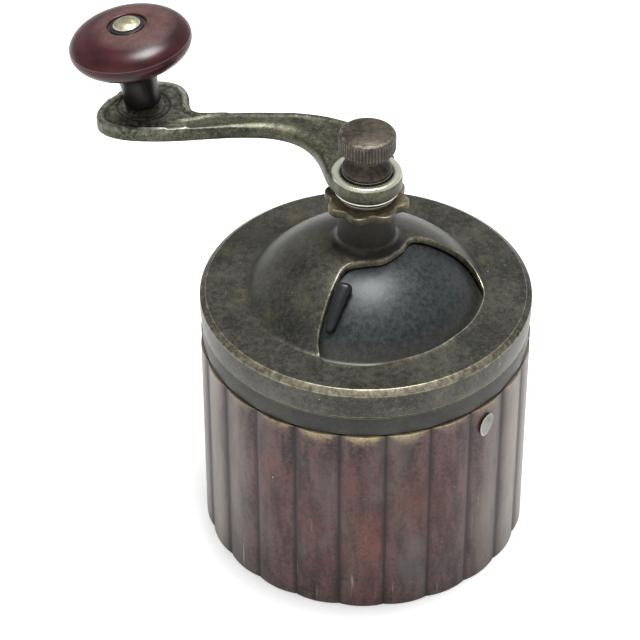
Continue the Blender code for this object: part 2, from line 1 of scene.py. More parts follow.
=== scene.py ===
"""Looks for the hand-cranked coffee mill: finer meshes and procedural materials around the
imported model. Lengths are in millimetres unless a name says otherwise; MM turns them into metres.
"""

import json
import math

import bmesh
import bpy
import numpy as np
from mathutils import Matrix, Vector
from mathutils.geometry import delaunay_2d_cdt


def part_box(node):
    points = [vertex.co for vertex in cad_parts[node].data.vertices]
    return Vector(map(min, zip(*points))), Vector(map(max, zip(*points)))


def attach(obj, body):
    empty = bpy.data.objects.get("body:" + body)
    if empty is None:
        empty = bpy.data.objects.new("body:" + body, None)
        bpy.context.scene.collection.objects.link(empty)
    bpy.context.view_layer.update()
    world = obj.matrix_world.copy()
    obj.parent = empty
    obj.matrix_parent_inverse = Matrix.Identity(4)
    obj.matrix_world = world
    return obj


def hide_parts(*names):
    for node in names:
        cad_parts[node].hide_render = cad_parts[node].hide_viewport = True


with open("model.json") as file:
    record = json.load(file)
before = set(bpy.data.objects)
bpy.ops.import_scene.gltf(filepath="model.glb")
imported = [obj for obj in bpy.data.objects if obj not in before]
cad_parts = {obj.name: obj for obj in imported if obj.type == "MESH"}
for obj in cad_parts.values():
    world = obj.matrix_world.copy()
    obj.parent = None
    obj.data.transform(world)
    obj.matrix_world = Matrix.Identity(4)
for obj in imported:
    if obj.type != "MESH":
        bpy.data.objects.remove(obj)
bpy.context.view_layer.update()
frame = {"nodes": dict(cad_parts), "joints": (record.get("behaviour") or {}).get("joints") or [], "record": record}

MM = 0.001
TAU = 2.0 * math.pi


def span(node):
    """Radius, base and top in millimetres of a CAD node turned about the mill's axis."""
    low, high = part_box(node)
    return high.x / MM, low.z / MM, high.z / MM


# ---------------------------------------------------------------------------- mesh tools

def finish_piece(obj, body, nodes, surface, sharp=40.0):
    """Put a new piece on its body in place of its CAD nodes, and give it its material."""
    obj.data.shade_smooth()
    obj.data.set_sharp_from_angle(angle=math.radians(sharp))
    add_edge_attributes(obj.data)
    obj.data.materials.clear()
    obj.data.materials.append(surface)
    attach(obj, body)
    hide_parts(*nodes)


def read_vectors(source, name):
    """A vector property of every vertex, as rows of an array."""
    values = np.empty(len(source) * 3, np.float32)
    source.foreach_get(name, values)
    return values.reshape(-1, 3).astype(float)


def add_edge_attributes(mesh):
    """Store how convex or hollow the surface is at each vertex, for wear, and for dirt and painted shade in the
    hollows.
    """
    count = len(mesh.vertices)
    places = read_vectors(mesh.vertices, "co")
    normals = read_vectors(mesh.vertex_normals, "vector")
    pairs = np.empty(len(mesh.edges) * 2, np.int32)
    mesh.edges.foreach_get("vertices", pairs)
    a, b = pairs.reshape(-1, 2).T
    step = places[a] - places[b]
    squared = np.maximum((step ** 2).sum(1), 1e-12)
    bend = np.zeros(count)
    weight = np.zeros(count)
    np.add.at(bend, a, (normals[a] * step).sum(1) / squared)
    np.add.at(bend, b, -(normals[b] * step).sum(1) / squared)
    np.add.at(weight, a, 1.0)
    np.add.at(weight, b, 1.0)
    weight = np.maximum(weight, 1.0)
    bend = bend / weight * MM
    for _ in range(3):
        spread = np.zeros(count)
        np.add.at(spread, a, bend[b])
        np.add.at(spread, b, bend[a])
        bend = 0.5 * bend + 0.5 * spread / weight
    for name, values in (("edge", bend), ("hollow_and_shade", -bend)):
        layer = mesh.attributes.new(name, "FLOAT", "POINT")
        layer.data.foreach_set("value", np.clip(values, 0.0, 1.0).astype(np.float32))


def touch_up(obj, name, rule):
    """Raise a stored attribute where rule(places), given places in millimetres, is larger."""
    wanted = np.asarray(rule(read_vectors(obj.data.vertices, "co") / MM), np.float32)
    layer = obj.data.attributes.get(name) or obj.data.attributes.new(name, "FLOAT", "POINT")
    values = np.empty(len(wanted), np.float32)
    layer.data.foreach_get("value", values)
    layer.data.foreach_set("value", np.maximum(values, wanted))


def mesh_object(name, vertices, faces):
    """Make an object from vertices in millimetres, with doubles welded and faces pointing out."""
    mesh = bpy.data.meshes.new(name)
    mesh.from_pydata([(x * MM, y * MM, z * MM) for x, y, z in vertices], [], faces)
    work = bmesh.new()
    work.from_mesh(mesh)
    bmesh.ops.remove_doubles(work, verts=work.verts, dist=0.002 * MM)
    bmesh.ops.recalc_face_normals(work, faces=work.faces)
    work.to_mesh(mesh)
    work.free()
    obj = bpy.data.objects.new(name, mesh)
    bpy.context.scene.collection.objects.link(obj)
    return obj


def lathe_data(profile, steps, closed=True, swell=None):
    """Vertices and faces of (radius, height[, weight]) points turned about Z. Where a point has
    a weight, swell(angle) times the weight is added to its radius."""
    vertices, faces = [], []
    count = len(profile)
    for i in range(steps):
        angle = TAU * i / steps
        extra = swell(angle) if swell else 0.0
        for point in profile:
            radius = point[0] + (point[2] * extra if len(point) > 2 else 0.0)
            vertices.append((radius * math.cos(angle), radius * math.sin(angle), point[1]))
    last = count if closed else count - 1
    for i in range(steps):
        here, there = i * count, (i + 1) % steps * count
        for j in range(last):
            k = (j + 1) % count
            faces.append((here + j, there + j, there + k, here + k))
    return vertices, faces


def lathe(name, profile, steps=160, closed=True, swell=None):
    return mesh_object(name, *lathe_data(profile, steps, closed, swell))


def rounded(corners, steps=4, closed=True):
    """Replace each (x, y, radius) corner of a path by an arc of that radius."""
    points = []
    count = len(corners)
    for i, (x, y, radius) in enumerate(corners):
        if radius <= 0.0 or (not closed and i in (0, count - 1)):
            points.append((x, y))
            continue
        here = Vector((x, y))
        before = Vector(corners[i - 1][:2]) - here
        after = Vector(corners[(i + 1) % count][:2]) - here
        half = 0.5 * before.angle(after)
        reach = min(radius / math.tan(half), 0.49 * before.length, 0.49 * after.length)
        start = here + before.normalized() * reach
        end = here + after.normalized() * reach
        for j in range(steps + 1):
            t = j / steps
            points.append(tuple(start * (1 - t) ** 2 + here * 2 * t * (1 - t) + end * t ** 2))
    return points


def arc(centre_x, centre_y, radius, start, end, steps):
    """Points of an arc; the angles are in degrees."""
    angles = [math.radians(start + (end - start) * i / steps) for i in range(steps + 1)]
    return [(centre_x + radius * math.cos(a), centre_y + radius * math.sin(a)) for a in angles]


def smooth(points, steps, closed=False):
    """Points of a Catmull-Rom curve through the given ones."""
    count = len(points)
    made = []
    for i in range(count if closed else count - 1):
        if closed:
            four = [points[(i + k) % count] for k in (-1, 0, 1, 2)]
        else:
            four = [points[min(max(i + k, 0), count - 1)] for k in (-1, 0, 1, 2)]
        for j in range(steps):
            t = j / steps
            weights = (-0.5 * t + t * t - 0.5 * t ** 3, 1.0 - 2.5 * t * t + 1.5 * t ** 3,
                       0.5 * t + 2.0 * t * t - 1.5 * t ** 3, 0.5 * (t ** 3 - t * t))
            made.append(tuple(sum(w * p[axis] for w, p in zip(weights, four)) for axis in (0, 1)))
    if not closed:
        made.append(points[-1])
    return made


def evenly(points, spacing):
    """Resample a closed outline at even steps."""
    line = np.array(points + points[:1], float)
    lengths = np.hypot(*np.diff(line, axis=0).T)
    travelled = np.concatenate([[0.0], np.cumsum(lengths)])
    count = max(8, int(round(travelled[-1] / spacing)))
    at = np.linspace(0.0, travelled[-1], count, endpoint=False)
    return np.stack([np.interp(at, travelled, line[:, 0]), np.interp(at, travelled, line[:, 1])], 1)


def distance(places, line, closed=True):
    """Distance from each place to a polyline."""
    line = np.asarray(line, float)
    starts = line if closed else line[:-1]
    ends = np.roll(line, -1, axis=0) if closed else line[1:]
    best = np.full(len(places), 1e9)
    for start, end in zip(starts, ends):
        along = end - start
        t = np.clip(((places - start) @ along) / max(along @ along, 1e-12), 0.0, 1.0)
        best = np.minimum(best, np.hypot(*(places - start - t[:, None] * along).T))
    return best


def inside(places, loop):
    """Whether each place lies inside a closed outline."""
    result = np.zeros(len(places), bool)
    x, y = places.T
    for (x0, y0), (x1, y1) in zip(loop, np.roll(loop, -1, axis=0)):
        crosses = (y0 > y) != (y1 > y)
        if y1 != y0:
            result ^= crosses & (x < (x1 - x0) * (y - y0) / (y1 - y0) + x0)
    return result


def smoothstep(low, high, values):
    t = np.clip((np.asarray(values, float) - low) / (high - low), 0.0, 1.0)
    return t * t * (3.0 - 2.0 * t)


def plate_data(outer, holes, top, bottom, edge, grid, open_loops=(), bottom_edge=None):
    """Vertices and faces of a plate between two height fields, with rounded edges.

    outer and holes are outlines; top and bottom give heights from an array of places; edge is the
    rounding radius; grid holds the places between. Loops named in open_loops get no wall and no
    rounding, because another surface joins them."""
    loops = [np.asarray(outer, float)] + [np.asarray(hole, float) for hole in holes]
    bottom_edge = edge if bottom_edge is None else bottom_edge
    closed_loops = [loop for i, loop in enumerate(loops) if i not in open_loops]
    rows = [math.radians(a) for a in (22.5, 45.0, 67.5, 90.0)]
    extra = []
    for i, loop in enumerate(loops):
        if i in open_loops:
            continue
        tangent = np.roll(loop, -1, axis=0) - np.roll(loop, 1, axis=0)
        normal = np.stack([-tangent[:, 1], tangent[:, 0]], 1)
        normal /= np.maximum(np.hypot(*normal.T), 1e-9)[:, None]
        ahead = np.roll(loop, -1, axis=0)
        turning = np.sum(loop[:, 0] * ahead[:, 1] - ahead[:, 0] * loop[:, 1])
        side = math.copysign(1.0, turning) * (1.0 if i == 0 else -1.0)
        for angle in rows:
            depth = edge * (1.0 - math.cos(angle))
            moved = loop + normal * side * depth
            extra.append(moved[distance(moved, loop) > 0.9 * depth])
    away = edge + 0.35
    kept = inside(grid, loops[0])
    for hole in loops[1:]:
        kept &= ~inside(grid, hole)
    grid = grid[kept]
    for loop in loops:
        grid = grid[distance(grid, loop) > away]
    places = np.concatenate(loops + extra + [grid])
    edges = []
    offset = 0
    for loop in loops:
        count = len(loop)
        edges += [(offset + k, offset + (k + 1) % count) for k in range(count)]
        offset += count
    found = delaunay_2d_cdt([Vector(p) for p in places], edges, [], 0, 1e-5)
    flat = np.array([tuple(p) for p in found[0]])
    triangles = np.array([f for f in found[2] if len(f) == 3])
    centres = flat[triangles].mean(axis=1)
    kept = inside(centres, loops[0])
    for hole in loops[1:]:
        kept &= ~inside(centres, hole)
    triangles = triangles[kept]
    gap = np.full(len(flat), 1e9)
    for loop in closed_loops:
        gap = np.minimum(gap, distance(flat, loop))

    def drop(radius):
        inner = np.clip(radius - gap, 0.0, radius)
        return radius - np.sqrt(np.maximum(radius ** 2 - inner ** 2, 0.0))

    high = top(flat, gap) - drop(edge)
    low = bottom(flat, gap) + drop(bottom_edge)
    count = len(flat)
    vertices = [(x, y, z) for level in (high, low) for (x, y), z in zip(flat, level)]
    faces = [tuple(t) for t in triangles] + [tuple(t[::-1] + count) for t in triangles]
    origins = {}
    for index, sources in enumerate(found[3]):
        for source in sources:
            origins[source] = index
    offset = 0
    for i, loop in enumerate(loops):
        size = len(loop)
        if i not in open_loops:
            ids = [origins[offset + k] for k in range(size)]
            for k in range(size):
                a, b = ids[k], ids[(k + 1) % size]
                if a != b:
                    faces.append((a, b, b + count, a + count))
        offset += size
    return vertices, faces


def ring_grid(radii, spacing):
    """Places on circles about the axis, staggered from one circle to the next."""
    rows = []
    for i, radius in enumerate(radii):
        count = max(6, int(round(TAU * radius / spacing)))
        angles = TAU * (np.arange(count) + 0.5 * (i % 2)) / count
        rows.append(np.stack([radius * np.cos(angles), radius * np.sin(angles)], 1))
    return np.concatenate(rows)


def square_grid(low, high, spacing):
    """Places of a staggered grid."""
    rows = []
    for i, y in enumerate(np.arange(low[1], high[1], spacing * 0.866)):
        xs = np.arange(low[0] + 0.5 * spacing * (i % 2), high[0], spacing)
        rows.append(np.stack([xs, np.full(len(xs), y)], 1))
    return np.concatenate(rows)


def away_from(places, centre=(0.0, 0.0)):
    """Distance of each place from a centre, seen from above."""
    return np.hypot(places[:, 0] - centre[0], places[:, 1] - centre[1])


def hill(values, centre, width):
    """1 at a centre, fading to nothing within about two widths."""
    return np.exp(-((values - centre) / width) ** 2)


def circle(radius, count, centre=(0.0, 0.0)):
    angles = TAU * np.arange(count) / count
    return np.stack([centre[0] + radius * np.cos(angles), centre[1] + radius * np.sin(angles)], 1)


def merged(name, *parts):
    """One object from several vertex and face lists that meet at shared places."""
    vertices, faces = [], []
    for some, their_faces in parts:
        offset = len(vertices)
        vertices += list(some)
        faces += [tuple(int(i) + offset for i in face) for face in their_faces]
    return mesh_object(name, vertices, faces)


# ---------------------------------------------------------------------------- material tools

def tint(shade):
    """A linear colour from red, green and blue in the usual range of 0 to 255."""
    def linear(value):
        value /= 255.0
        return value / 12.92 if value <= 0.04045 else ((value + 0.055) / 1.055) ** 2.4
    return (*(linear(value) for value in shade), 1.0)


class Surface:
    """A procedural material, built from sockets. Its colour is painted in layers."""

    def __init__(self, name):
        self.material = bpy.data.materials.new(name)
        self.material.use_nodes = True
        self.tree = self.material.node_tree
        self.shader = self.tree.nodes["Principled BSDF"]
        self.place = self.add("ShaderNodeTexCoord", {}).outputs["Object"]
        self.colour = None

    def add(self, kind, inputs, **settings):
        """Add a node; inputs maps the names or numbers of its sockets to values or sockets."""
        node = self.tree.nodes.new(kind)
        for key, value in settings.items():
            setattr(node, key, value)
        for key, value in inputs.items():
            self.feed(node.inputs[key], value)
        return node

    def feed(self, socket, value):
        if isinstance(value, bpy.types.NodeSocket):
            self.tree.links.new(value, socket)
        else:
            socket.default_value = value

    def noise(self, size, detail=4.0, rough=0.55, stretch=(1.0, 1.0, 1.0), shift=0.0):
        """Noise whose features are about size millimetres wide."""
        place = self.add("ShaderNodeMapping", {"Vector": self.place, "Scale": stretch}).outputs["Vector"]
        inputs = {"Vector": place, "Scale": 1.0 / (size * MM), "Detail": detail, "Roughness": rough,
                  "W": shift}
        return self.add("ShaderNodeTexNoise", inputs, noise_dimensions="4D").outputs["Fac"]

    def specks(self, size, share, radius=0.16, shift=0.0):
        """Small scattered dots: the share of cells of this size that hold one."""
        inputs = {"Vector": self.place, "Scale": 1.0 / (size * MM), "W": shift}
        cells = self.add("ShaderNodeTexVoronoi", inputs, voronoi_dimensions="4D").outputs
        draw = self.add("ShaderNodeSeparateColor", {0: cells["Color"]}).outputs[0]
        dot = self.ranged(cells["Distance"], radius, radius * 0.6)
        return self.times(dot, self.ranged(draw, share, share * 0.7))

    def math(self, operation, first, second, clamp=False):
        inputs = {0: first, 1: second}
        return self.add("ShaderNodeMath", inputs, operation=operation, use_clamp=clamp).outputs[0]

    def times(self, first, second):
        return self.math("MULTIPLY", first, second)

    def plus(self, first, second):
        return self.math("ADD", first, second)

    def ranged(self, value, low, high, to_low=0.0, to_high=1.0):
        """Map a range of values smoothly to another."""
        inputs = {"Value": value, "From Min": low, "From Max": high, "To Min": to_low, "To Max": to_high}
        return self.add("ShaderNodeMapRange", inputs, interpolation_type="SMOOTHSTEP").outputs["Result"]

    def mix(self, first, second, share):
        inputs = {"Factor": share, 6: first, 7: second}
        return self.add("ShaderNodeMix", inputs, data_type="RGBA").outputs[2]

    def ground(self, first, second, share):
        """Begin the colour with two shades."""
        self.colour = self.mix(tint(first), tint(second), share)

    def paint(self, shade, share, strength=None):
        """Lay a shade over the colour."""
        share = share if strength is None else self.times(share, strength)
        self.colour = self.mix(self.colour, tint(shade), share)

    def layer(self, name):
        """A value stored on the mesh."""
        return self.add("ShaderNodeAttribute", {}, attribute_name=name).outputs["Fac"]

    def ragged_edge(self, mottle):
        """The stored convexity, broken up by noise."""
        return self.plus(self.layer("edge"), self.times(self.math("SUBTRACT", mottle, 0.5), 0.5))

    def near(self, centre, radius, soft=0.5):
        """1 within a radius of a place, in millimetres, falling to 0 outside it."""
        inputs = {0: self.place, 1: [c * MM for c in centre]}
        gap = self.add("ShaderNodeVectorMath", inputs, operation="DISTANCE").outputs["Value"]
        return self.ranged(gap, radius * MM, radius * MM * (1.0 - soft))

    def height(self):
        return self.add("ShaderNodeSeparateXYZ", {0: self.place}).outputs["Z"]

    def facing_up(self):
        normal = self.add("ShaderNodeNewGeometry", {}).outputs["Normal"]
        return self.add("ShaderNodeSeparateXYZ", {0: normal}).outputs["Z"]

    def bump(self, height, depth):
        """A bump whose full height is depth millimetres."""
        inputs = {"Height": height, "Distance": depth * MM, "Strength": 1.0}
        return self.add("ShaderNodeBump", inputs).outputs["Normal"]

    def done(self, roughness, metallic, normal=None, specular=0.5):
        inputs = {"Base Color": self.colour, "Roughness": roughness, "Metallic": metallic,
                  "Specular IOR Level": specular}
        if normal is not None:
            inputs["Normal"] = normal
        for key, value in inputs.items():
            self.feed(self.shader.inputs[key], value)
        return self.material


def patina(name, dark, mid, light, worn, metallic=0.8, rough=0.42, wear=1.0, specks=0.1, warm=0.5,
           grain=0.02, edge_from=0.25, edge_to=0.7, grit=0.35):
    """Old browned metal: cloudy tones, golden patches, pale specks, pitted and bright at its edges, darker in its
    hollows. The edge layer also carries the painted highlight and painted light, and the hollow layer the painted
    shade, that some pieces store there.
    """
    s = Surface(name)
    cloud = s.noise(14.0, 5.0, 0.6)
    mottle = s.noise(1.6, 6.0, 0.65, shift=3.0)
    fine = s.noise(0.45, 3.0, 0.6, shift=7.0)
    tone = s.plus(s.times(cloud, 0.5), s.times(mottle, 0.5))
    s.ground(dark, mid, s.ranged(tone, 0.38, 0.62))
    patches = s.times(s.ranged(s.noise(9.0, 4.0, 0.6, shift=11.0), 0.5, 0.72), warm)
    s.paint(light, patches)
    s.paint(light, s.ranged(fine, 0.53, 0.72), grit)
    s.paint(dark, s.ranged(fine, 0.46, 0.3), grit)
    dots = s.math("MAXIMUM", s.specks(2.6, specks, 0.13), s.specks(1.2, specks * 0.6, 0.16, 5.0))
    s.paint((186, 182, 165), dots, 0.6)
    edge = s.ragged_edge(mottle)
    # Lighter at the edges: wear, plus the painted highlight and painted light that some pieces store in their edge
    # layer.
    rub = s.math("MULTIPLY", s.ranged(edge, edge_from, edge_to), wear, True)
    s.paint(worn, rub)
    # Darker in the hollows: dirt and painted shade, plus the painted shade that some pieces store in this layer.
    dirt_and_shade = s.ranged(s.layer("hollow_and_shade"), 0.05, 0.4, 0.0, 0.75)
    s.paint((22, 20, 17), dirt_and_shade)
    roughness = s.plus(s.times(mottle, 0.25), rough - 0.12)
    roughness = s.math("SUBTRACT", roughness, s.times(rub, 0.12))
    normal = s.bump(s.plus(s.times(fine, 0.5), mottle), grain)
    return s.done(roughness, metallic, normal)


# ---------------------------------------------------------------------------- materials

# The cover's worn shade also paints the painted highlight along the front of the rim's bevel.
COVER_METAL = patina("cover_patina", (44, 44, 41), (76, 76, 68), (112, 101, 76), (176, 168, 142),
                     metallic=0.7, rough=0.38, warm=0.35, specks=0.3, grit=0.6)
COLLAR_METAL = patina("collar_patina", (38, 39, 38), (54, 54, 50), (78, 72, 58), (150, 142, 116),
                      metallic=0.6, rough=0.44, specks=0.05, warm=0.2, wear=0.6, edge_from=0.45, edge_to=0.9)
NUT_METAL = patina("scalloped_nut_patina", (66, 61, 50), (124, 115, 92), (158, 144, 108),
                   (200, 192, 168), metallic=0.7, wear=0.7, specks=0.04, warm=0.7, edge_from=0.4, edge_to=0.9)
# The arm's worn shade also paints the painted light and painted highlight stored in its edge layer.
ARM_METAL = patina("cast_arm", (46, 47, 39), (90, 90, 75), (132, 128, 104), (196, 198, 178),
                   metallic=0.75, rough=0.4, specks=0.1, warm=0.35, grain=0.07, grit=0.75)
STEEL_BROWN = patina("thumb_nut_metal", (33, 29, 25), (82, 76, 65), (94, 74, 56),
                     (164, 158, 142), metallic=0.6, rough=0.44, specks=0.12, warm=0.42, grit=0.6, grain=0.04,
                     edge_from=0.5, edge_to=1.0)
BRIGHT = patina("bright_steel", (128, 128, 120), (176, 176, 166), (160, 150, 120), (226, 226, 216),
                metallic=1.0, rough=0.34, specks=0.02, warm=0.4)
DARK_STEEL = patina("dark_steel", (40, 39, 37), (66, 64, 60), (90, 80, 64), (150, 146, 136),
                    rough=0.45, specks=0.03)
BURR_IRON = patina("burr_iron", (84, 83, 80), (120, 118, 113), (120, 96, 66), (200, 198, 190),
                   metallic=0.9, rough=0.45, specks=0.02)
BRASS = patina("aged_brass", (140, 134, 104), (196, 190, 158), (216, 208, 172), (242, 238, 214),
               metallic=0.9, rough=0.36, specks=0.02, warm=0.5, grain=0.06)
STUD_METAL = patina("dull_stud", (112, 113, 108), (150, 150, 144), (166, 160, 144), (196, 196, 188),
                    metallic=0.25, rough=0.65, wear=0.4, specks=0.04, warm=0.3)


def can_material():
    """Browned metal gone purple, with reddish patches in front, a painted grey sheen on the crests of the side
    flutes, pale scratches, and dirt and painted shade along the flute valleys.
    """
    s = Surface("fluted_can_brown")
    streak = s.noise(4.0, 5.0, 0.6, (1.0, 1.0, 0.22))
    mottle = s.noise(1.1, 6.0, 0.65, shift=2.0)
    cloud = s.noise(15.0, 4.0, 0.55, (1.0, 1.0, 0.55), 5.0)
    fine = s.noise(0.35, 3.0, 0.6, shift=6.0)
    tone = s.plus(s.times(streak, 0.55), s.times(mottle, 0.45))
    s.ground((32, 24, 25), (84, 63, 62), s.ranged(tone, 0.4, 0.6))
    s.paint((84, 74, 68), s.ranged(cloud, 0.48, 0.7), 0.8)
    # Painted highlight: a grey sheen on the crests of the side flutes.
    painted_side_sheen = s.times(s.layer("painted_side_sheen"), s.ranged(tone, 0.3, 0.6, 0.55, 1.0))
    s.paint((122, 115, 106), painted_side_sheen)
    reddish = s.times(s.near((2.0, -50.0, 32.0), 40.0, 0.8), s.ranged(cloud, 0.6, 0.42))
    s.paint((84, 46, 40), reddish, 0.6)
    for centre, radius, shade, share in (
            ((1.0, -50.0, 34.0), 8.0, (116, 66, 62), 0.32),
            ((2.5, -50.0, 24.0), 7.0, (120, 72, 62), 0.28),
            ((-27.0, -42.0, 50.0), 9.0, (96, 56, 42), 0.45),
            ((-1.0, -50.0, 7.0), 7.0, (104, 40, 46), 0.35),
            ((16.0, -47.0, 40.0), 8.0, (94, 58, 50), 0.3),
            ((14.0, -48.0, 14.0), 8.0, (48, 52, 62), 0.5),
            ((24.0, -44.0, 12.0), 8.0, (48, 53, 60), 0.45),
            ((-33.0, -38.0, 22.0), 11.0, (70, 68, 64), 0.4)):
        spot = s.times(s.near(centre, radius, 0.9), s.ranged(mottle, 0.35, 0.6, 0.3, 1.0))
        s.paint(shade, spot, share)
    s.paint((112, 100, 84), s.ranged(fine, 0.56, 0.74), 0.3)
    fan = s.times(s.layer("fan"), s.ranged(mottle, 0.34, 0.58, 0.45, 1.0))
    s.paint((168, 152, 116), fan)
    scratch = s.noise(1.3, 2.0, 0.5, (1.0, 1.0, 0.06), 8.0)
    scratch = s.times(s.ranged(scratch, 0.655, 0.73), s.ranged(s.height(), 0.05, 0.0))
    s.paint((170, 160, 150), scratch, 0.5)
    dots = s.math("MAXIMUM", s.specks(3.4, 0.12, 0.12), s.specks(1.5, 0.06, 0.16, 4.0))
    s.paint((176, 172, 164), dots, 0.6)
    edge = s.ragged_edge(mottle)
    rub = s.ranged(edge, 0.35, 0.8, 0.0, 0.8)
    s.paint((176, 164, 126), rub)
    # Darker in the hollows and along the flute valleys: dirt and painted shade.
    s.paint((14, 11, 10), s.ranged(s.layer("hollow_and_shade"), 0.04, 0.3, 0.0, 0.9))
    s.paint((12, 10, 10), s.layer("valley_dirt_and_shade"), 0.9)
    roughness = s.plus(s.times(mottle, 0.25), 0.3)
    normal = s.bump(s.plus(mottle, s.times(fine, 0.4)), 0.03)
    return s.done(roughness, 0.5, normal)


def shutter_material():
    """Smooth blue-black dome, browner on its flat ledge and where it is dusty."""
    s = Surface("shutter_black")
    mottle = s.noise(1.5, 6.0, 0.65)
    fine = s.noise(0.4, 3.0, 0.6, shift=2.0)
    s.ground((32, 36, 38), (54, 58, 58), s.ranged(mottle, 0.35, 0.65))
    ledge = s.ranged(s.height(), 0.0885, 0.0838)
    s.paint((66, 63, 56), ledge, 0.5)
    dust = s.times(s.ranged(fine, 0.54, 0.7), s.ranged(s.noise(7.0, 3.0, 0.5, shift=9.0), 0.45, 0.65))
    s.paint((96, 96, 88), dust, 0.6)
    s.paint((170, 168, 160), s.specks(2.4, 0.05, 0.1), 0.5)
    roughness = s.plus(s.times(mottle, 0.25), 0.28)
    roughness = s.plus(roughness, s.times(dust, 0.15))
    normal = s.bump(s.plus(mottle, s.times(fine, 0.9)), 0.03)
    return s.done(roughness, 0.45, normal)


def tab_material():
    """Near-black finish of the shutter's tab. On the washer under the rivet's head the same near-black is dark
    steel deepened into painted shade in the gap round the rivet.
    """
    s = Surface("tab_black")
    mottle = s.noise(1.2, 5.0, 0.6)
    s.ground((10, 11, 13), (20, 22, 25), s.ranged(mottle, 0.35, 0.65))
    s.paint((70, 72, 74), s.ranged(s.layer("edge"), 0.6, 1.0, 0.0, 0.4))
    roughness = s.plus(s.times(mottle, 0.2), 0.3)
    return s.done(roughness, 0.2, s.bump(mottle, 0.02))


def knob_material():
    """Moulded burgundy thermoset: glossy round the rim, dulled and dusty on top."""
    s = Surface("knob_burgundy")
    swirl = s.noise(9.0, 5.0, 0.6, (1.0, 1.0, 2.5))
    fine = s.noise(0.5, 4.0, 0.6, shift=3.0)
    s.ground((34, 9, 13), (58, 16, 22), s.ranged(swirl, 0.35, 0.65))
    worn = s.times(s.ranged(s.facing_up(), 0.93, 0.995),
                  s.ranged(s.noise(5.0, 5.0, 0.6, shift=8.0), 0.3, 0.62, 0.5, 0.95))
    grime = s.ranged(s.plus(fine, s.times(swirl, 0.5)), 0.66, 0.86)
    s.paint((86, 60, 57), worn, 0.6)
    s.paint((96, 76, 70), s.times(worn, grime), 0.5)
    # A faint painted reflection of the pale floor on the faces turned downwards.
    under = s.ranged(s.facing_up(), -0.05, -0.5)
    s.paint((50, 34, 35), under, 0.1)
    # Painted shade: the stem under the head is made near-black.
    stem = s.ranged(s.height(), 0.1415, 0.1395)
    s.paint((11, 8, 9), stem, 0.95)
    s.paint((132, 104, 96), s.ranged(s.layer("edge"), 0.3, 0.7), 0.5)
    s.paint((200, 190, 180), s.specks(3.0, 0.08, 0.1), 0.5)
    # Darker in the hollows: dirt and painted shade.
    s.paint((14, 7, 8), s.ranged(s.layer("hollow_and_shade"), 0.08, 0.5, 0.0, 0.8))
    roughness = s.plus(s.times(worn, 0.26), s.times(fine, 0.12))
    roughness = s.plus(roughness, 0.24)
    return s.done(roughness, 0.0, s.bump(fine, 0.01), specular=0.32)


def stage_material():
    s = Surface("pale_floor")
    tone = s.noise(60.0, 3.0, 0.5)
    s.ground((240, 240, 240), (245, 245, 245), tone)
    s.shader.inputs["Emission Color"].default_value = (1.0, 1.0, 1.0, 1.0)
    s.shader.inputs["Emission Strength"].default_value = 0.22
    return s.done(0.9, 0.0, specular=0.1)


# ---------------------------------------------------------------------------- can

FLUTES = 23
FLUTE_START = math.radians(-160.93)
FLUTE_HEIGHT = 0.75
FLUTE_STEPS = 18
CAN_WALL_R = 48.2
LIP_R = 44.9
LIP_TOP = 0.8


def flute(angle):
    """Height of the flutes' lobes round the can, 0 in the valleys and 1 at the crests."""
    lobe = ((angle - FLUTE_START) * FLUTES / TAU) % 1.0
    return math.sin(math.pi * lobe) ** 0.7 if 0.0 < lobe < 1.0 else 0.0


def make_can():
    _, base, top = span("fluted_can")
    valley_top, valley_base = 49.6, 50.0
    heights = [top - d for d in (0.28, 0.4, 0.6, 0.9, 1.3, 2.0)]
    heights += list(np.linspace(top - 4.0, base + 3.0, 26)) + [base + d for d in (1.4, 0.8, 0.5, 0.3)]

    def wall(height):
        share = (top - height) / (top - base)
        return valley_top + (valley_base - valley_top) * share

    profile = [(CAN_WALL_R, top, 0.0), (valley_top - 0.7, top, 0.05), (valley_top - 0.35, top - 0.03, 0.35),
               (valley_top - 0.12, top - 0.12, 0.75)]
    profile += [(wall(z), z, 1.0) for z in heights]
    profile += [(valley_base - 0.1, base + 0.12, 1.0), (valley_base - 0.35, base + 0.02, 0.9),
                (valley_base - 0.8, base, 0.6), (LIP_R, base, 0.0), (LIP_R, LIP_TOP, 0.0),
                (CAN_WALL_R, LIP_TOP, 0.0)]
    profile += [(CAN_WALL_R, z, 0.0) for z in np.linspace(LIP_TOP, top, 8)[1:-1]]

    steps = FLUTES * FLUTE_STEPS
    turn = Matrix.Rotation(FLUTE_START, 3, "Z")
    vertices, faces = lathe_data(profile, steps, True, lambda a: FLUTE_HEIGHT * flute(a + FLUTE_START))
    vertices = [tuple(turn @ Vector(v)) for v in vertices]
    can = mesh_object("can_shell", vertices, faces)
    finish_piece(can, "can", ["fluted_can"], can_material(), 32.0)

    def crest(p):
        turned = np.arctan2(p[:, 1], p[:, 0]) - FLUTE_START
        return np.abs(np.sin(0.5 * turned * FLUTES))

    def fan(p):
        height = top - p[:, 2]
        front = 0.2 + 0.5 * smoothstep(-20.0, -50.0, p[:, 1]) * smoothstep(34.0, 4.0, np.abs(p[:, 0]))
        return front * smoothstep(1.0 + 2.6 * crest(p), 0.3, height) * smoothstep(0.2, 0.7, crest(p))

    def sideways(p):
        return smoothstep(30.0, 48.0, np.abs(p[:, 0]))

    touch_up(can, "fan", fan)
    # Dark lines along the flute valleys, wider on the sides: dirt and painted shade.
    touch_up(can, "valley_dirt_and_shade", lambda p: hill(crest(p), 0.0, 0.17 + 0.2 * sideways(p)))
    # Painted highlight: a grey sheen along the crests of the side flutes.
    touch_up(can, "painted_side_sheen", lambda p: sideways(p) * crest(p) ** 1.5)


# ---------------------------------------------------------------------------- cover and shutter

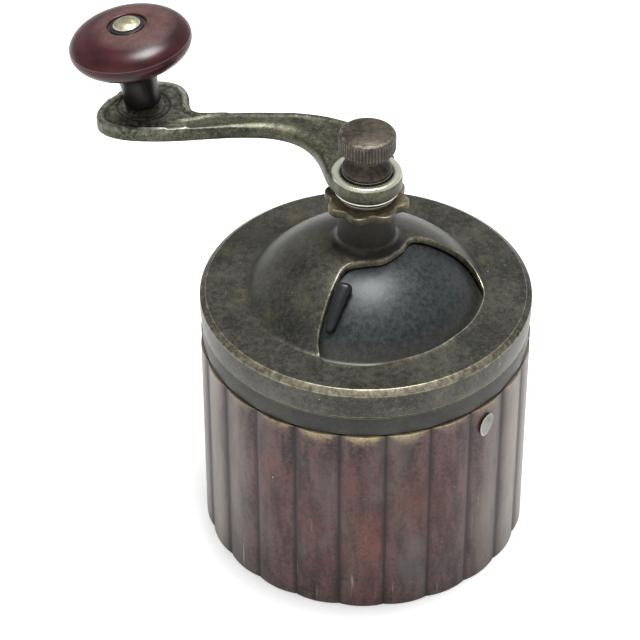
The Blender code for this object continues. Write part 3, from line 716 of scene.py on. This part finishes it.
SPHERE_Z = 60.5
SPHERE_R = 43.6
COVER_FLAT = 85.5
COVER_SHEET = 2.0
NECK_FILLET = 3.5
FOOT_FILLET = 2.5
OPENING = [(17.5, -117.5), (27.0, -116.0), (34.0, -113.5), (37.9, -106.0), (37.9, -95.0), (36.3, -78.0),
           (35.6, -55.0), (35.5, -30.0), (35.5, -8.0), (33.6, 4.0), (29.5, 11.3), (22.0, 13.0), (15.2, 12.0),
           (12.2, 0.0), (11.3, -20.0), (10.9, -60.0), (11.0, -95.0), (12.3, -111.0), (14.6, -117.0)]


def opening_outline(turn=0.0):
    points = []
    for radius, degrees in OPENING:
        angle = math.radians(degrees) + turn
        points.append((radius * math.cos(angle), radius * math.sin(angle)))
    return evenly(smooth(points, 8, True), 0.45)


def dome_height(sphere_r, flat, foot_fillet, neck_r=None, neck_fillet=0.0):
    """Height of a dome on a flat ring, with a fillet at its foot and another up to the neck."""
    foot_z = flat + foot_fillet
    foot_r = math.sqrt((sphere_r + foot_fillet) ** 2 - (foot_z - SPHERE_Z) ** 2)
    foot_start = foot_r * sphere_r / (sphere_r + foot_fillet)
    if neck_r is not None:
        fillet_r = neck_r + neck_fillet
        fillet_z = SPHERE_Z + math.sqrt((sphere_r + neck_fillet) ** 2 - fillet_r ** 2)
        neck_start = fillet_r * sphere_r / (sphere_r + neck_fillet)

    def height(radius):
        radius = np.asarray(radius, float)
        dome = SPHERE_Z + np.sqrt(np.maximum(sphere_r ** 2 - radius ** 2, 0.0))
        foot = foot_z - np.sqrt(np.maximum(foot_fillet ** 2 - np.minimum(radius - foot_r, 0.0) ** 2, 0.0))
        result = np.where(radius < foot_start, dome, np.where(radius < foot_r, foot, flat))
        if neck_r is not None:
            neck = fillet_z - np.sqrt(np.maximum(neck_fillet ** 2 - (fillet_r - radius) ** 2, 0.0))
            result = np.where(radius < neck_start, neck, result)
        return result

    return height


def make_cover():
    rim_r, base, top = span("top_cover")
    bush_r = span("neck_bush")[0] - 1.5
    neck_r, bore, joint_r, sheet_r = 8.6, bush_r + 0.3, 9.4, 44.0
    under = COVER_FLAT - COVER_SHEET
    high = dome_height(SPHERE_R, COVER_FLAT, FOOT_FILLET, neck_r, NECK_FILLET)
    low = dome_height(SPHERE_R - COVER_SHEET, under, 3.5)
    steps = 240
    radii = [10.2, 11.0, 11.9] + list(np.arange(12.9, 34.0, 1.15)) + [34.6, 35.2, 35.8, 36.4, 37.0, 37.7]
    radii += list(np.arange(38.8, 43.6, 1.2))
    grid = ring_grid(radii, 1.15)
    sheet = plate_data(circle(sheet_r, steps), [circle(joint_r, steps), opening_outline()],
                       lambda p, gap: high(away_from(p)), lambda p, gap: low(away_from(p)), 0.5, grid,
                       open_loops=(0, 1), bottom_edge=0.25)
    rim_bore = span("collar_ring")[0] - 1.65
    rim = [(sheet_r, COVER_FLAT), (46.0, COVER_FLAT - 0.02), (47.6, COVER_FLAT)]
    rim += rounded([(47.6, COVER_FLAT, 0), (rim_r - 1.75, COVER_FLAT, 0.5), (rim_r, COVER_FLAT - 1.2, 0.5),
                    (rim_r, COVER_FLAT - 2.0, 0), (rim_r, COVER_FLAT - 2.6, 0), (rim_r, base + 4.0, 0),
                    (rim_r - 0.28, base, 0.35), (rim_bore, base, 0.3), (rim_bore, under, 0.6),
                    (sheet_r, under, 0)], 4, False)[1:]
    fillet_z = SPHERE_Z + math.sqrt((SPHERE_R + NECK_FILLET) ** 2 - (neck_r + NECK_FILLET) ** 2)
    start = 180.0 + math.degrees(math.acos((neck_r + NECK_FILLET - joint_r) / NECK_FILLET))
    neck = [(joint_r, float(high(joint_r)))]
    neck += arc(neck_r + NECK_FILLET, fillet_z, NECK_FILLET, start, 180.0, 5)[1:]
    neck += rounded([(neck_r, fillet_z, 0), (neck_r, top, 0.5), (bore, top, 0.25),
                     (bore, float(low(bore)), 0.2), (joint_r, float(low(joint_r)), 0)], 4, False)[1:]
    cover = merged("cover_shell", sheet, lathe_data(rim, steps, False), lathe_data(neck, steps, False))
    finish_piece(cover, "head", ["top_cover"], COVER_METAL, 50.0)
    edge_line = opening_outline()

    def worn(p):
        radius = away_from(p)
        # The rim's bevel is lighter all round from wear, and more so towards the front, where a painted highlight
        # line is added.
        bevel = (radius > rim_r - 2.3) & (p[:, 2] > COVER_FLAT - 1.5)
        front = 0.26 + 0.16 * smoothstep(0.0, -46.0, p[:, 1])
        return np.maximum(bevel * front, 0.42 * smoothstep(1.0, 0.3, distance(p[:, :2], edge_line)))

    touch_up(cover, "edge", worn)
    # Painted shadow on the neck and its fillet, under the adjusting nut.
    touch_up(cover, "hollow_and_shade", lambda p: 0.45 * smoothstep(11.5, 9.8, away_from(p)))


SHUTTER_R = 41.0
SHUTTER_SHEET = 1.2
SHUTTER_BORE = 9.0
SHUTTER_TURN = math.radians(-134.0)
TAB_ANGLE = math.radians(-110.5)


def make_shutter():
    flange_r, base, _ = span("shutter")
    flat = base + 1.0
    high = dome_height(SHUTTER_R, flat, 1.5)
    low = dome_height(SHUTTER_R - SHUTTER_SHEET, base, 2.0)
    radii = list(np.arange(10.0, 33.2, 1.2)) + [33.8, 34.4, 35.0] + list(np.arange(36.0, 47.0, 1.3))
    shell = plate_data(circle(flange_r, 200), [circle(SHUTTER_BORE, 90), opening_outline(SHUTTER_TURN)],
                       lambda p, gap: high(away_from(p)), lambda p, gap: low(away_from(p)), 0.3,
                       ring_grid(radii, 1.2))
    shutter = mesh_object("shutter_dome", *shell)
    finish_piece(shutter, "shutter", ["shutter"], shutter_material(), 50.0)


def make_tab():
    """Finger tab: a rounded bar lying along the dome, higher and blunter at its inner end."""
    stations = 28
    sides = 20
    inner_r, outer_r = 17.3, 30.0
    vertices, faces = [], []
    for i in range(stations + 1):
        t = i / stations
        radius = inner_r + (outer_r - inner_r) * t
        seat = math.sqrt((SHUTTER_R + 0.3) ** 2 - radius ** 2) + SPHERE_Z
        blunt = math.sqrt(max(0.0, 1.0 - (1.0 - min(t / 0.13, 1.0)) ** 2))
        blunt *= math.sqrt(max(0.0, 1.0 - max((t - 0.8) / 0.2, 0.0) ** 2))
        half = (2.55 - 1.2 * t) * max(blunt, 0.02)
        rise = (4.3 - 2.2 * t) * max(blunt, 0.02)
        tilt = math.asin(radius / SHUTTER_R)
        out = Vector((math.cos(TAB_ANGLE), math.sin(TAB_ANGLE), 0.0))
        side = Vector((-out.y, out.x, 0.0))
        lift = out * math.sin(tilt) + Vector((0.0, 0.0, math.cos(tilt)))
        foot = out * radius + side * (0.75 * (1.0 - t)) + Vector((0.0, 0.0, seat))
        for j in range(sides):
            angle = TAU * j / sides
            x = math.copysign(abs(math.cos(angle)) ** 0.7, math.cos(angle)) * half
            y = (0.5 + 0.5 * math.copysign(abs(math.sin(angle)) ** 0.7, math.sin(angle))) * rise
            vertices.append(tuple(foot + side * x + lift * y))
    for i in range(stations):
        for j in range(sides):
            k = (j + 1) % sides
            faces.append((i * sides + j, i * sides + k, (i + 1) * sides + k, (i + 1) * sides + j))
    faces.append(tuple(range(sides))[::-1])
    faces.append(tuple(stations * sides + j for j in range(sides)))
    tab = mesh_object("tab_bar", vertices, faces)
    finish_piece(tab, "shutter", ["shutter_tab"], tab_material(), 60.0)


def make_collar():
    radius, base, top = span("collar_ring")
    spigot_r = radius - 1.75
    seat = base + 11.2
    band_top = seat + 6.4
    corners = [(spigot_r - 0.2, top, 0.3), (spigot_r - 0.2, band_top, 0), (radius, band_top, 0.3),
               (radius, seat, 0.3), (spigot_r, seat, 0), (spigot_r, base, 0.4), (spigot_r - 1.6, base, 0.4),
               (spigot_r - 1.6, seat + 4.2, 0.6), (40.5, seat + 4.2, 0.4), (40.5, band_top, 0.4),
               (spigot_r - 1.9, band_top, 0), (spigot_r - 1.9, top, 0.3)]
    collar = lathe("collar_band", rounded(corners), 240)
    cutters = []
    for angle in (-45.0, 135.0):
        bpy.ops.mesh.primitive_cube_add(size=1.0)
        cutter = bpy.context.object
        cutter.name = "slot_cutter"
        reach = Matrix.Translation((spigot_r * MM, 0.0, (base + 3.0) * MM))
        size = Matrix.Diagonal((6.0 * MM, 3.2 * MM, 9.0 * MM, 1.0))
        cutter.matrix_world = Matrix.Rotation(math.radians(angle), 4, "Z") @ reach @ size
        cutters.append(cutter)
    subtract(collar, cutters)
    finish_piece(collar, "head", ["collar_ring"], COLLAR_METAL, 40.0)


def subtract(obj, cutters):
    """Cut the object by others, which are then removed."""
    for cutter in cutters:
        step = obj.modifiers.new("cut", "BOOLEAN")
        step.operation = "DIFFERENCE"
        step.solver = "EXACT"
        step.object = cutter
    bpy.context.view_layer.update()
    graph = bpy.context.evaluated_depsgraph_get()
    mesh = bpy.data.meshes.new_from_object(obj.evaluated_get(graph))
    obj.modifiers.clear()
    obj.data = mesh
    for cutter in cutters:
        bpy.data.objects.remove(cutter, do_unlink=True)


# ---------------------------------------------------------------------------- crank

EYE = (-67.4, 33.2)
HUB_R = 10.4
HUB_LIP_R = 8.95
HUB_RECESS_R = 7.6
EYE_GROOVE_R = 8.0
PIN_GROOVE_R = 6.6
EYE_FAR_END = 70
EYE_EDGE = [(-53.6, 34.0), (-53.9, 37.5), (-54.9, 41.2), (-57.0, 44.4), (-60.4, 46.2), (-64.4, 46.6),
            (-69.0, 45.4), (-73.4, 42.8), (-76.9, 39.2), (-79.4, 35.2), (-81.0, 31.2), (-81.2, 27.6),
            (-80.1, 24.6), (-77.6, 22.3), (-74.2, 20.8), (-69.6, 19.9), (-62.3, 19.7)]
FRONT_EDGE = [(-55.2, 20.2), (-48.0, 21.1), (-40.9, 21.9), (-33.8, 22.1), (-28.5, 21.6), (-23.5, 19.9),
              (-19.6, 17.2), (-16.6, 13.4), (-14.6, 9.3), (-13.3, 5.2), (-12.3, 1.4), (-11.1, -1.8)]
BACK_EDGE = [(6.9, 11.8), (3.6, 18.0), (-2.0, 23.6), (-8.5, 27.1), (-15.0, 29.3), (-23.0, 30.5),
             (-32.0, 30.8), (-41.2, 30.4), (-47.0, 30.0), (-50.6, 30.0), (-52.8, 31.2)]


def make_arm():
    low_corner, high_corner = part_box("crank_arm")
    base, top = low_corner.z / MM, high_corner.z / MM
    hub = arc(0.0, 0.0, HUB_R, 206.0, 397.0, 70)
    front = smooth(EYE_EDGE + FRONT_EDGE + hub[:1], 8)
    back = smooth(hub[-1:] + BACK_EDGE, 8)
    outline = evenly(front[:-1] + hub + back[1:], 0.55)
    square = rounded([(3.0, 3.0, 0.4), (3.0, -3.0, 0.4), (-3.0, -3.0, 0.4), (-3.0, 3.0, 0.4)], 3)
    square = evenly(square[::-1], 0.8)
    foot = joint("knob_spin")["pos_m"]
    pin = circle(2.6, 26, (foot[0] / MM, foot[1] / MM))
    lead = front[EYE_FAR_END:]

    def upper(p, gap):
        x, y = p.T
        hub_d = away_from(p)
        eye_d = away_from(p, EYE)
        lead_d = distance(p, lead, False)
        back_d = distance(p, back, False)
        bend = smoothstep(-56.0, -22.0, x)
        ridge = 1.15 + 2.9 * bend * (1.0 - 0.75 * smoothstep(14.0, 9.0, y) * smoothstep(-26.0, -16.0, x))
        inner = 4.9 + 4.2 * smoothstep(-58.0, -34.0, x)
        level = np.full(len(p), top - 0.55)
        slope = np.clip((ridge - lead_d) / ridge, 0.0, 1.0)
        roll = (0.5 + 2.1 * bend) * (1.0 - np.sqrt(1.0 - slope ** 2))
        level = np.where(lead_d < ridge, top - 0.12 - roll, level)
        level = np.where((lead_d >= ridge) & (lead_d < ridge + 0.5),
                         top - 0.12 - 0.43 * smoothstep(0.0, 0.5, lead_d - ridge), level)
        raised = smoothstep(inner, inner + 0.5, lead_d)
        level = level + raised * (0.5 - 0.25 * bend) * (lead_d > ridge + 0.5)
        rail = hill(back_d, 1.3, 0.75) * smoothstep(-50.0, -36.0, x) * smoothstep(9.0, 13.0, hub_d)
        level = level + 0.42 * rail * (lead_d > ridge + 0.5)
        eyeward = smoothstep(-50.0, -56.0, x)
        level = level + 0.4 * eyeward * hill(gap, 1.3, 0.6)
        level = level - 0.35 * eyeward * hill(gap, 2.6, 0.4) * (eye_d > 8.8)
        level = level - 0.45 * (hill(eye_d, EYE_GROOVE_R, 0.4) + 0.6 * hill(eye_d, PIN_GROOVE_R, 0.35))
        lip = np.sqrt(np.clip(1.0 - ((hub_d - HUB_LIP_R) / 1.4) ** 2, 0.0, 1.0))
        ring = smoothstep(11.2, 10.0, hub_d)
        level = level * (1.0 - ring) + (top - 0.62 + 0.95 * lip) * ring
        return np.where(hub_d < HUB_RECESS_R, top - 0.6, level)

    def lower(p, gap):
        return base + 0.5 * smoothstep(9.5, 13.0, away_from(p))

    grid = square_grid((-82.5, -11.0), (12.5, 47.5), 0.8)
    hub_rings = ring_grid([7.3, 7.57, 7.63, 7.9, 8.25, 8.6, 9.0, 9.4, 9.8, 10.2, 10.7, 11.3], 0.6)
    eye_rings = ring_grid([3.4, 4.2, 5.0, 5.8, 6.3, 6.6, 6.9, 7.4, 7.8, 8.1, 8.5, 9.0, 9.5], 0.65)
    plain = (away_from(grid) >= 11.5) & (away_from(grid, EYE) >= 9.9)
    recess = grid[away_from(grid) < 7.2]
    grid = np.concatenate([grid[plain], hub_rings, eye_rings + np.array(EYE), recess])
    arm = mesh_object("crank_casting", *plate_data(outline, [square, pin], upper, lower, 0.7, grid))
    finish_piece(arm, "crank", ["crank_arm"], ARM_METAL, 60.0)

    def rub_and_painted_light(p):
        radius = away_from(p)
        # The hub's raised lip is lightened: rubbed metal, and a painted highlight.
        lip = 0.85 * smoothstep(7.3, 8.0, radius) * smoothstep(10.7, 9.9, radius)
        lip = lip * smoothstep(top - 1.2, top - 0.6, p[:, 2])
        # The eye is lightened all over with painted light against the shade the knob casts on it, and more along
        # the ridge by its border.
        line = distance(p[:, :2], outline)
        ridge = 0.37 + 0.2 * smoothstep(0.5, 1.0, line) * smoothstep(2.1, 1.6, line)
        eye = ridge * smoothstep(-48.0, -56.0, p[:, 0]) * smoothstep(base + 1.5, top - 0.6, p[:, 2])
        return np.maximum(lip, eye)

    # Painted shade in the eye's grooves, in the channel round its border, and on the hub's side below its top.
    def painted_groove_and_hub_shade(p):
        eye_d = away_from(p, EYE)
        line = distance(p[:, :2], outline)
        rings = 0.4 * hill(eye_d, EYE_GROOVE_R, 0.4) + 0.25 * hill(eye_d, PIN_GROOVE_R, 0.35)
        border = 0.35 * hill(line, 2.6, 0.45) * smoothstep(-50.0, -56.0, p[:, 0])
        hub = (away_from(p) < 11.0) * smoothstep(top - 1.0, top - 1.6, p[:, 2])
        return np.maximum(np.maximum(rings, border) * (p[:, 2] > top - 2.0), 0.2 * hub)

    touch_up(arm, "edge", rub_and_painted_light)
    touch_up(arm, "hollow_and_shade", painted_groove_and_hub_shade)


def joint(name):
    return next(j for j in frame["joints"] if j["name"] == name)


def lean(obj):
    """Stand a piece on the knob's axis."""
    data = joint("knob_spin")
    turn = Vector((0, 0, 1)).rotation_difference(Vector(data["axis"]).normalized())
    obj.data.transform(Matrix.Translation(data["pos_m"]) @ turn.to_matrix().to_4x4())
    return obj


KNOB_R = 18.4
KNOB_MIDDLE = 21.6
KNOB_HALF = 6.6
KNOB_FLOOR = 1.0
KNOB_SEAT = 27.2
KNOB_TOP = 28.3


def make_knob():
    body = [(5.75, KNOB_SEAT), (5.75, KNOB_SEAT + 0.5), (5.95, KNOB_SEAT + 0.74), (6.3, KNOB_SEAT + 0.8),
            (6.6, KNOB_SEAT + 0.76), (7.1, KNOB_TOP - 0.26), (7.8, KNOB_TOP - 0.22)]
    seam_z = KNOB_MIDDLE + 1.25
    for i in range(91):
        angle = math.radians(33.0 + 111.0 * i / 90.0)
        radius = KNOB_R * math.sin(angle) ** 0.72
        height = KNOB_MIDDLE + KNOB_HALF * math.cos(angle)
        seam = math.exp(-((height - seam_z) / 0.25) ** 2)
        body.append((radius + 0.07 * seam, height))
    stem = smooth([(9.2, 15.2), (7.6, 13.7), (6.5, 12.0), (5.9, 9.5), (5.6, 5.5), (5.6, 1.8)], 5)
    foot = [(5.58, KNOB_FLOOR + 0.3), (5.35, KNOB_FLOOR), (2.6, KNOB_FLOOR), (2.6, KNOB_SEAT - 0.2),
            (2.8, KNOB_SEAT)]
    knob = lean(lathe("knob_moulding", body + stem + foot, 160))
    finish_piece(knob, "knob", ["knob"], knob_material(), 60.0)
    foot_place = np.array(joint("knob_spin")["pos_m"]) / MM
    up = np.array(joint("knob_spin")["axis"])
    touch_up(knob, "edge", lambda p: 0.6 * smoothstep(0.26, 0.05, np.abs((p - foot_place) @ up - seam_z)))


def make_knob_pin():
    """The riveted pin: a hand-peened head in the knob's recess and a flat tail under the arm."""
    tail = -5.35
    head = KNOB_TOP - 0.2
    dome = [(0.0, head + 1.34), (0.7, head + 1.34), (1.2, head + 1.28), (1.55, head + 1.32),
            (2.0, head + 1.25), (2.7, head + 1.05), (3.3, head + 0.75), (3.8, head + 0.36),
            (4.1, head + 0.06), (3.95, head), (2.3, head)]
    foot = [(2.3, tail), (3.6, tail), (3.75, tail - 0.15), (3.4, tail - 0.6), (2.4, tail - 0.92),
            (0.0, tail - 1.0)]
    pin = lathe("knob_pin", dome + foot, 72, False)
    for vertex in pin.data.vertices:
        x, y, z = vertex.co / MM
        if z > head + 0.1:
            dent = math.exp(-((x + 1.5) ** 2 + (y - 1.3) ** 2) / 1.1)
            dent += 0.6 * math.exp(-((x - 1.9) ** 2 + (y + 1.2) ** 2) / 0.8)
            vertex.co.z -= 0.28 * dent * MM
    finish_piece(lean(pin), "crank", ["knob_rivet"], BRASS, 60.0)
    low, high = KNOB_SEAT + 0.3, KNOB_SEAT + 0.7
    ring = [(2.5, low), (5.05, low), (5.2, low + 0.08), (5.2, high - 0.08), (5.05, high), (2.5, high)]
    washer = lean(lathe("pin_washer", ring, 64))
    # The washer is made near-black: dark steel, deepened into painted shade in the gap round the rivet's head.
    finish_piece(washer, "crank", ["rivet_washer"], tab_material(), 60.0)


def make_thumb_nut():
    """Knurled head with turned rings on its crown, a short neck and a wide bell-shaped skirt."""
    base, top = span("thumb_nut")[1:]
    teeth = 56
    shoulder = top - 1.35
    rim = top - 6.8
    profile = [(0.0, top, 0), (1.4, top - 0.01, 0), (3.0, top - 0.05, 0), (4.4, top - 0.13, 0)]
    for i in range(24):
        r = 4.6 + 3.1 * i / 23.0
        groove = 0.05 * (1.0 - math.cos(TAU * (r - 4.6) / 0.62)) * 0.5 * smoothstep(5.2, 6.6, r)
        profile.append((r, top - 0.14 - 0.62 * ((r - 4.6) / 3.1) ** 1.6 - float(groove), 0))
    profile += [(7.9, top - 0.92, 0.2), (8.05, shoulder + 0.2, 0.5), (8.18, shoulder - 0.05, 0.9),
                (8.22, shoulder - 0.3, 1)]
    profile += [(8.22, z, 1) for z in np.linspace(shoulder - 0.7, rim + 1.3, 8)]
    profile += [(8.2, rim + 0.9, 0.9), (8.0, rim + 0.45, 0.4), (7.6, rim + 0.12, 0), (6.8, rim, 0),
                (5.9, rim - 0.1, 0)]
    skirt = smooth([(5.2, rim - 0.5), (5.0, rim - 1.4), (5.05, base + 4.2), (5.5, base + 3.3),
                    (6.4, base + 2.2), (7.05, base + 1.3), (7.3, base + 0.5)], 4)
    profile += [(r, z, 0) for r, z in skirt]
    bore, bore_top = 3.1, 138.0
    profile += [(7.36, base + 0.2, 0), (7.3, base, 0), (bore, base, 0), (bore, bore_top, 0),
                (0.0, bore_top, 0)]

    def knurl(angle):
        return 0.15 * (0.5 + 0.5 * math.cos(teeth * angle))

    nut = lathe("thumb_nut_body", profile, teeth * 8, False, knurl)
    finish_piece(nut, "crank", ["thumb_nut"], STEEL_BROWN, 60.0)

    def worn(p):
        radius = away_from(p)
        crown = 0.35 * smoothstep(6.0, 7.4, radius) + 0.25
        return crown * (p[:, 2] > shoulder - 0.1) * (radius < 8.3)

    touch_up(nut, "edge", worn)


def make_washers():
    for name, node, body, bore, surface, slot_name, bevel in (
            ("bright_washer", "crank_washer", "crank", 4.2, BRIGHT, "bright_steel", 0.3),
            ("nut_disc", "nut_washer", "crank", 3.2, STEEL_BROWN, "bright_steel", 0.3),
            ("key_washer", "lock_washer", "drive", 4.2, DARK_STEEL, "dark_steel", 0.3),
            ("spring_seat", "spring_washer", "head", 4.2, BRIGHT, "bright_steel", 0.2)):
        radius, base, top = span(node)
        corners = [(radius, top, bevel), (radius, base, bevel), (bore, base, 0.1), (bore, top, 0.1)]
        finish_piece(lathe(name, rounded(corners), 96), body, [node], surface, 60.0)


def make_scalloped_nut():
    _, base, top = span("adjusting_nut")
    lobes = 8
    outline = []
    for i in range(240):
        angle = TAU * i / 240
        phase = lobes * (angle + math.radians(13.0))
        radius = 11.7 + 1.0 * math.cos(phase) - 0.12 * math.cos(2 * phase)
        outline.append((radius * math.cos(angle), radius * math.sin(angle)))
    bore = circle(4.15, 48)
    grid = ring_grid(list(np.arange(5.0, 11.6, 0.8)), 0.8)

    def upper(p, gap):
        radius = away_from(p)
        return top - 0.25 * smoothstep(8.6, 9.6, radius) * smoothstep(0.4, 1.2, gap)

    nut = mesh_object("scalloped_nut", *plate_data(outline, [bore], upper, lambda p, d: np.full(len(p), base),
                                                   0.5, grid))
    finish_piece(nut, "adjuster", ["adjusting_nut"], NUT_METAL, 60.0)
    # Painted shade on the nut's side, below its top face.
    touch_up(nut, "hollow_and_shade", lambda p: 0.3 * smoothstep(top - 0.2, top - 0.5, p[:, 2]))


def make_studs():
    """Oval pads, set at a slant, on round pins that reach through the can's wall."""
    for number, degrees in ((1, -45.0), (2, 135.0)):
        pad = [(0.0, 51.42, 0), (0.35, 51.41, 0), (0.62, 51.36, 0), (0.82, 51.24, 0), (0.94, 51.08, 0),
               (0.99, 50.95, 0), (0.98, 50.88, 0), (0.9, 50.84, 0), (0.5, 50.8, 0), (0.0, 50.78, 0)]
        vertices, faces = lathe_data(pad, 56, False)
        tilt = math.radians(-16.0)
        shaped = []
        for x, y, z in vertices:
            ripple = 0.98 + 0.04 * math.sin(3.0 * math.atan2(y, x) + 0.7)
            along, across = 4.0 * x * ripple, 2.6 * y * ripple
            shaped.append((along * math.cos(tilt) - across * math.sin(tilt),
                           along * math.sin(tilt) + across * math.cos(tilt), z))
        pin = [(0.0, 51.0), (1.15, 51.0), (1.2, 50.9), (1.2, 46.1), (1.1, 46.0), (0.0, 46.0)]
        stud = merged(f"stud_{number}", (shaped, faces), lathe_data(pin, 32, False))
        lay = Matrix.Rotation(math.radians(degrees), 4, "Z") @ Matrix.Rotation(math.pi / 2.0, 4, "Y")
        stud.data.transform(Matrix.Translation((0.0, 0.0, 62.0 * MM)) @ lay)
        finish_piece(stud, "can", [f"locating_stud_{number}"], STUD_METAL, 60.0)


def dress_hidden_pieces():
    """The pieces inside keep their CAD shape and get a finish."""
    finishes = {"bright_steel": BRIGHT, "dark_steel": DARK_STEEL, "burr_iron": BURR_IRON, "brass": BRASS}
    slots = {s["node"]: s["material_slot"] for s in frame["record"]["subparts"]}
    for name, node in frame["nodes"].items():
        if node.hide_render:
            continue
        node.data.materials.clear()
        node.data.materials.append(finishes.get(slots[name], DARK_STEEL))


# ---------------------------------------------------------------------------- stage

def area_light(name, size, power, place, target):
    data = bpy.data.lights.new(name, "AREA")
    data.shape = "RECTANGLE"
    data.size, data.size_y = size
    data.energy = power
    light = bpy.data.objects.new(name, data)
    bpy.context.scene.collection.objects.link(light)
    light.location = place
    light.rotation_euler = (Vector(target) - Vector(place)).to_track_quat("-Z", "Y").to_euler()


def make_stage():
    bpy.ops.mesh.primitive_plane_add(size=6.0)
    floor = bpy.context.object
    floor.name = "floor"
    floor.data.materials.append(stage_material())
    world = bpy.data.worlds.new("studio")
    bpy.context.scene.world = world
    world.use_nodes = True
    sky = world.node_tree.nodes["Background"]
    sky.inputs["Color"].default_value = (1.0, 1.0, 1.0, 1.0)
    sky.inputs["Strength"].default_value = 0.55
    area_light("key", (0.45, 0.45), 20.0, (0.06, 0.1, 1.25), (0.0, 0.0, 0.08))
    area_light("fill", (1.4, 0.9), 3.0, (-0.5, -1.1, 0.55), (0.0, 0.0, 0.06))
    bpy.context.scene.view_settings.view_transform = "Standard"


def make_camera():
    """Looks down at about forty degrees from in front."""
    forward = Vector((-0.019399, 0.776812, -0.629433)).normalized()
    right = Vector((0.999756, 0.021697, -0.004035)).normalized()
    up = right.cross(forward)
    camera = bpy.data.objects.new("camera", bpy.data.cameras.new("camera"))
    bpy.context.scene.collection.objects.link(camera)
    camera.data.sensor_width = 36.0
    camera.data.lens = 131.78
    camera.data.clip_start = 0.01
    place = Vector((0.0, -0.55377, 0.52051))
    columns = Matrix((right, up, -forward)).transposed()
    camera.matrix_world = Matrix.Translation(place) @ columns.to_4x4()
    bpy.context.scene.camera = camera


make_camera()
make_stage()
make_can()
make_collar()
make_cover()
make_shutter()
make_tab()
make_scalloped_nut()
make_washers()
make_arm()
make_thumb_nut()
make_knob()
make_knob_pin()
make_studs()
dress_hidden_pieces()
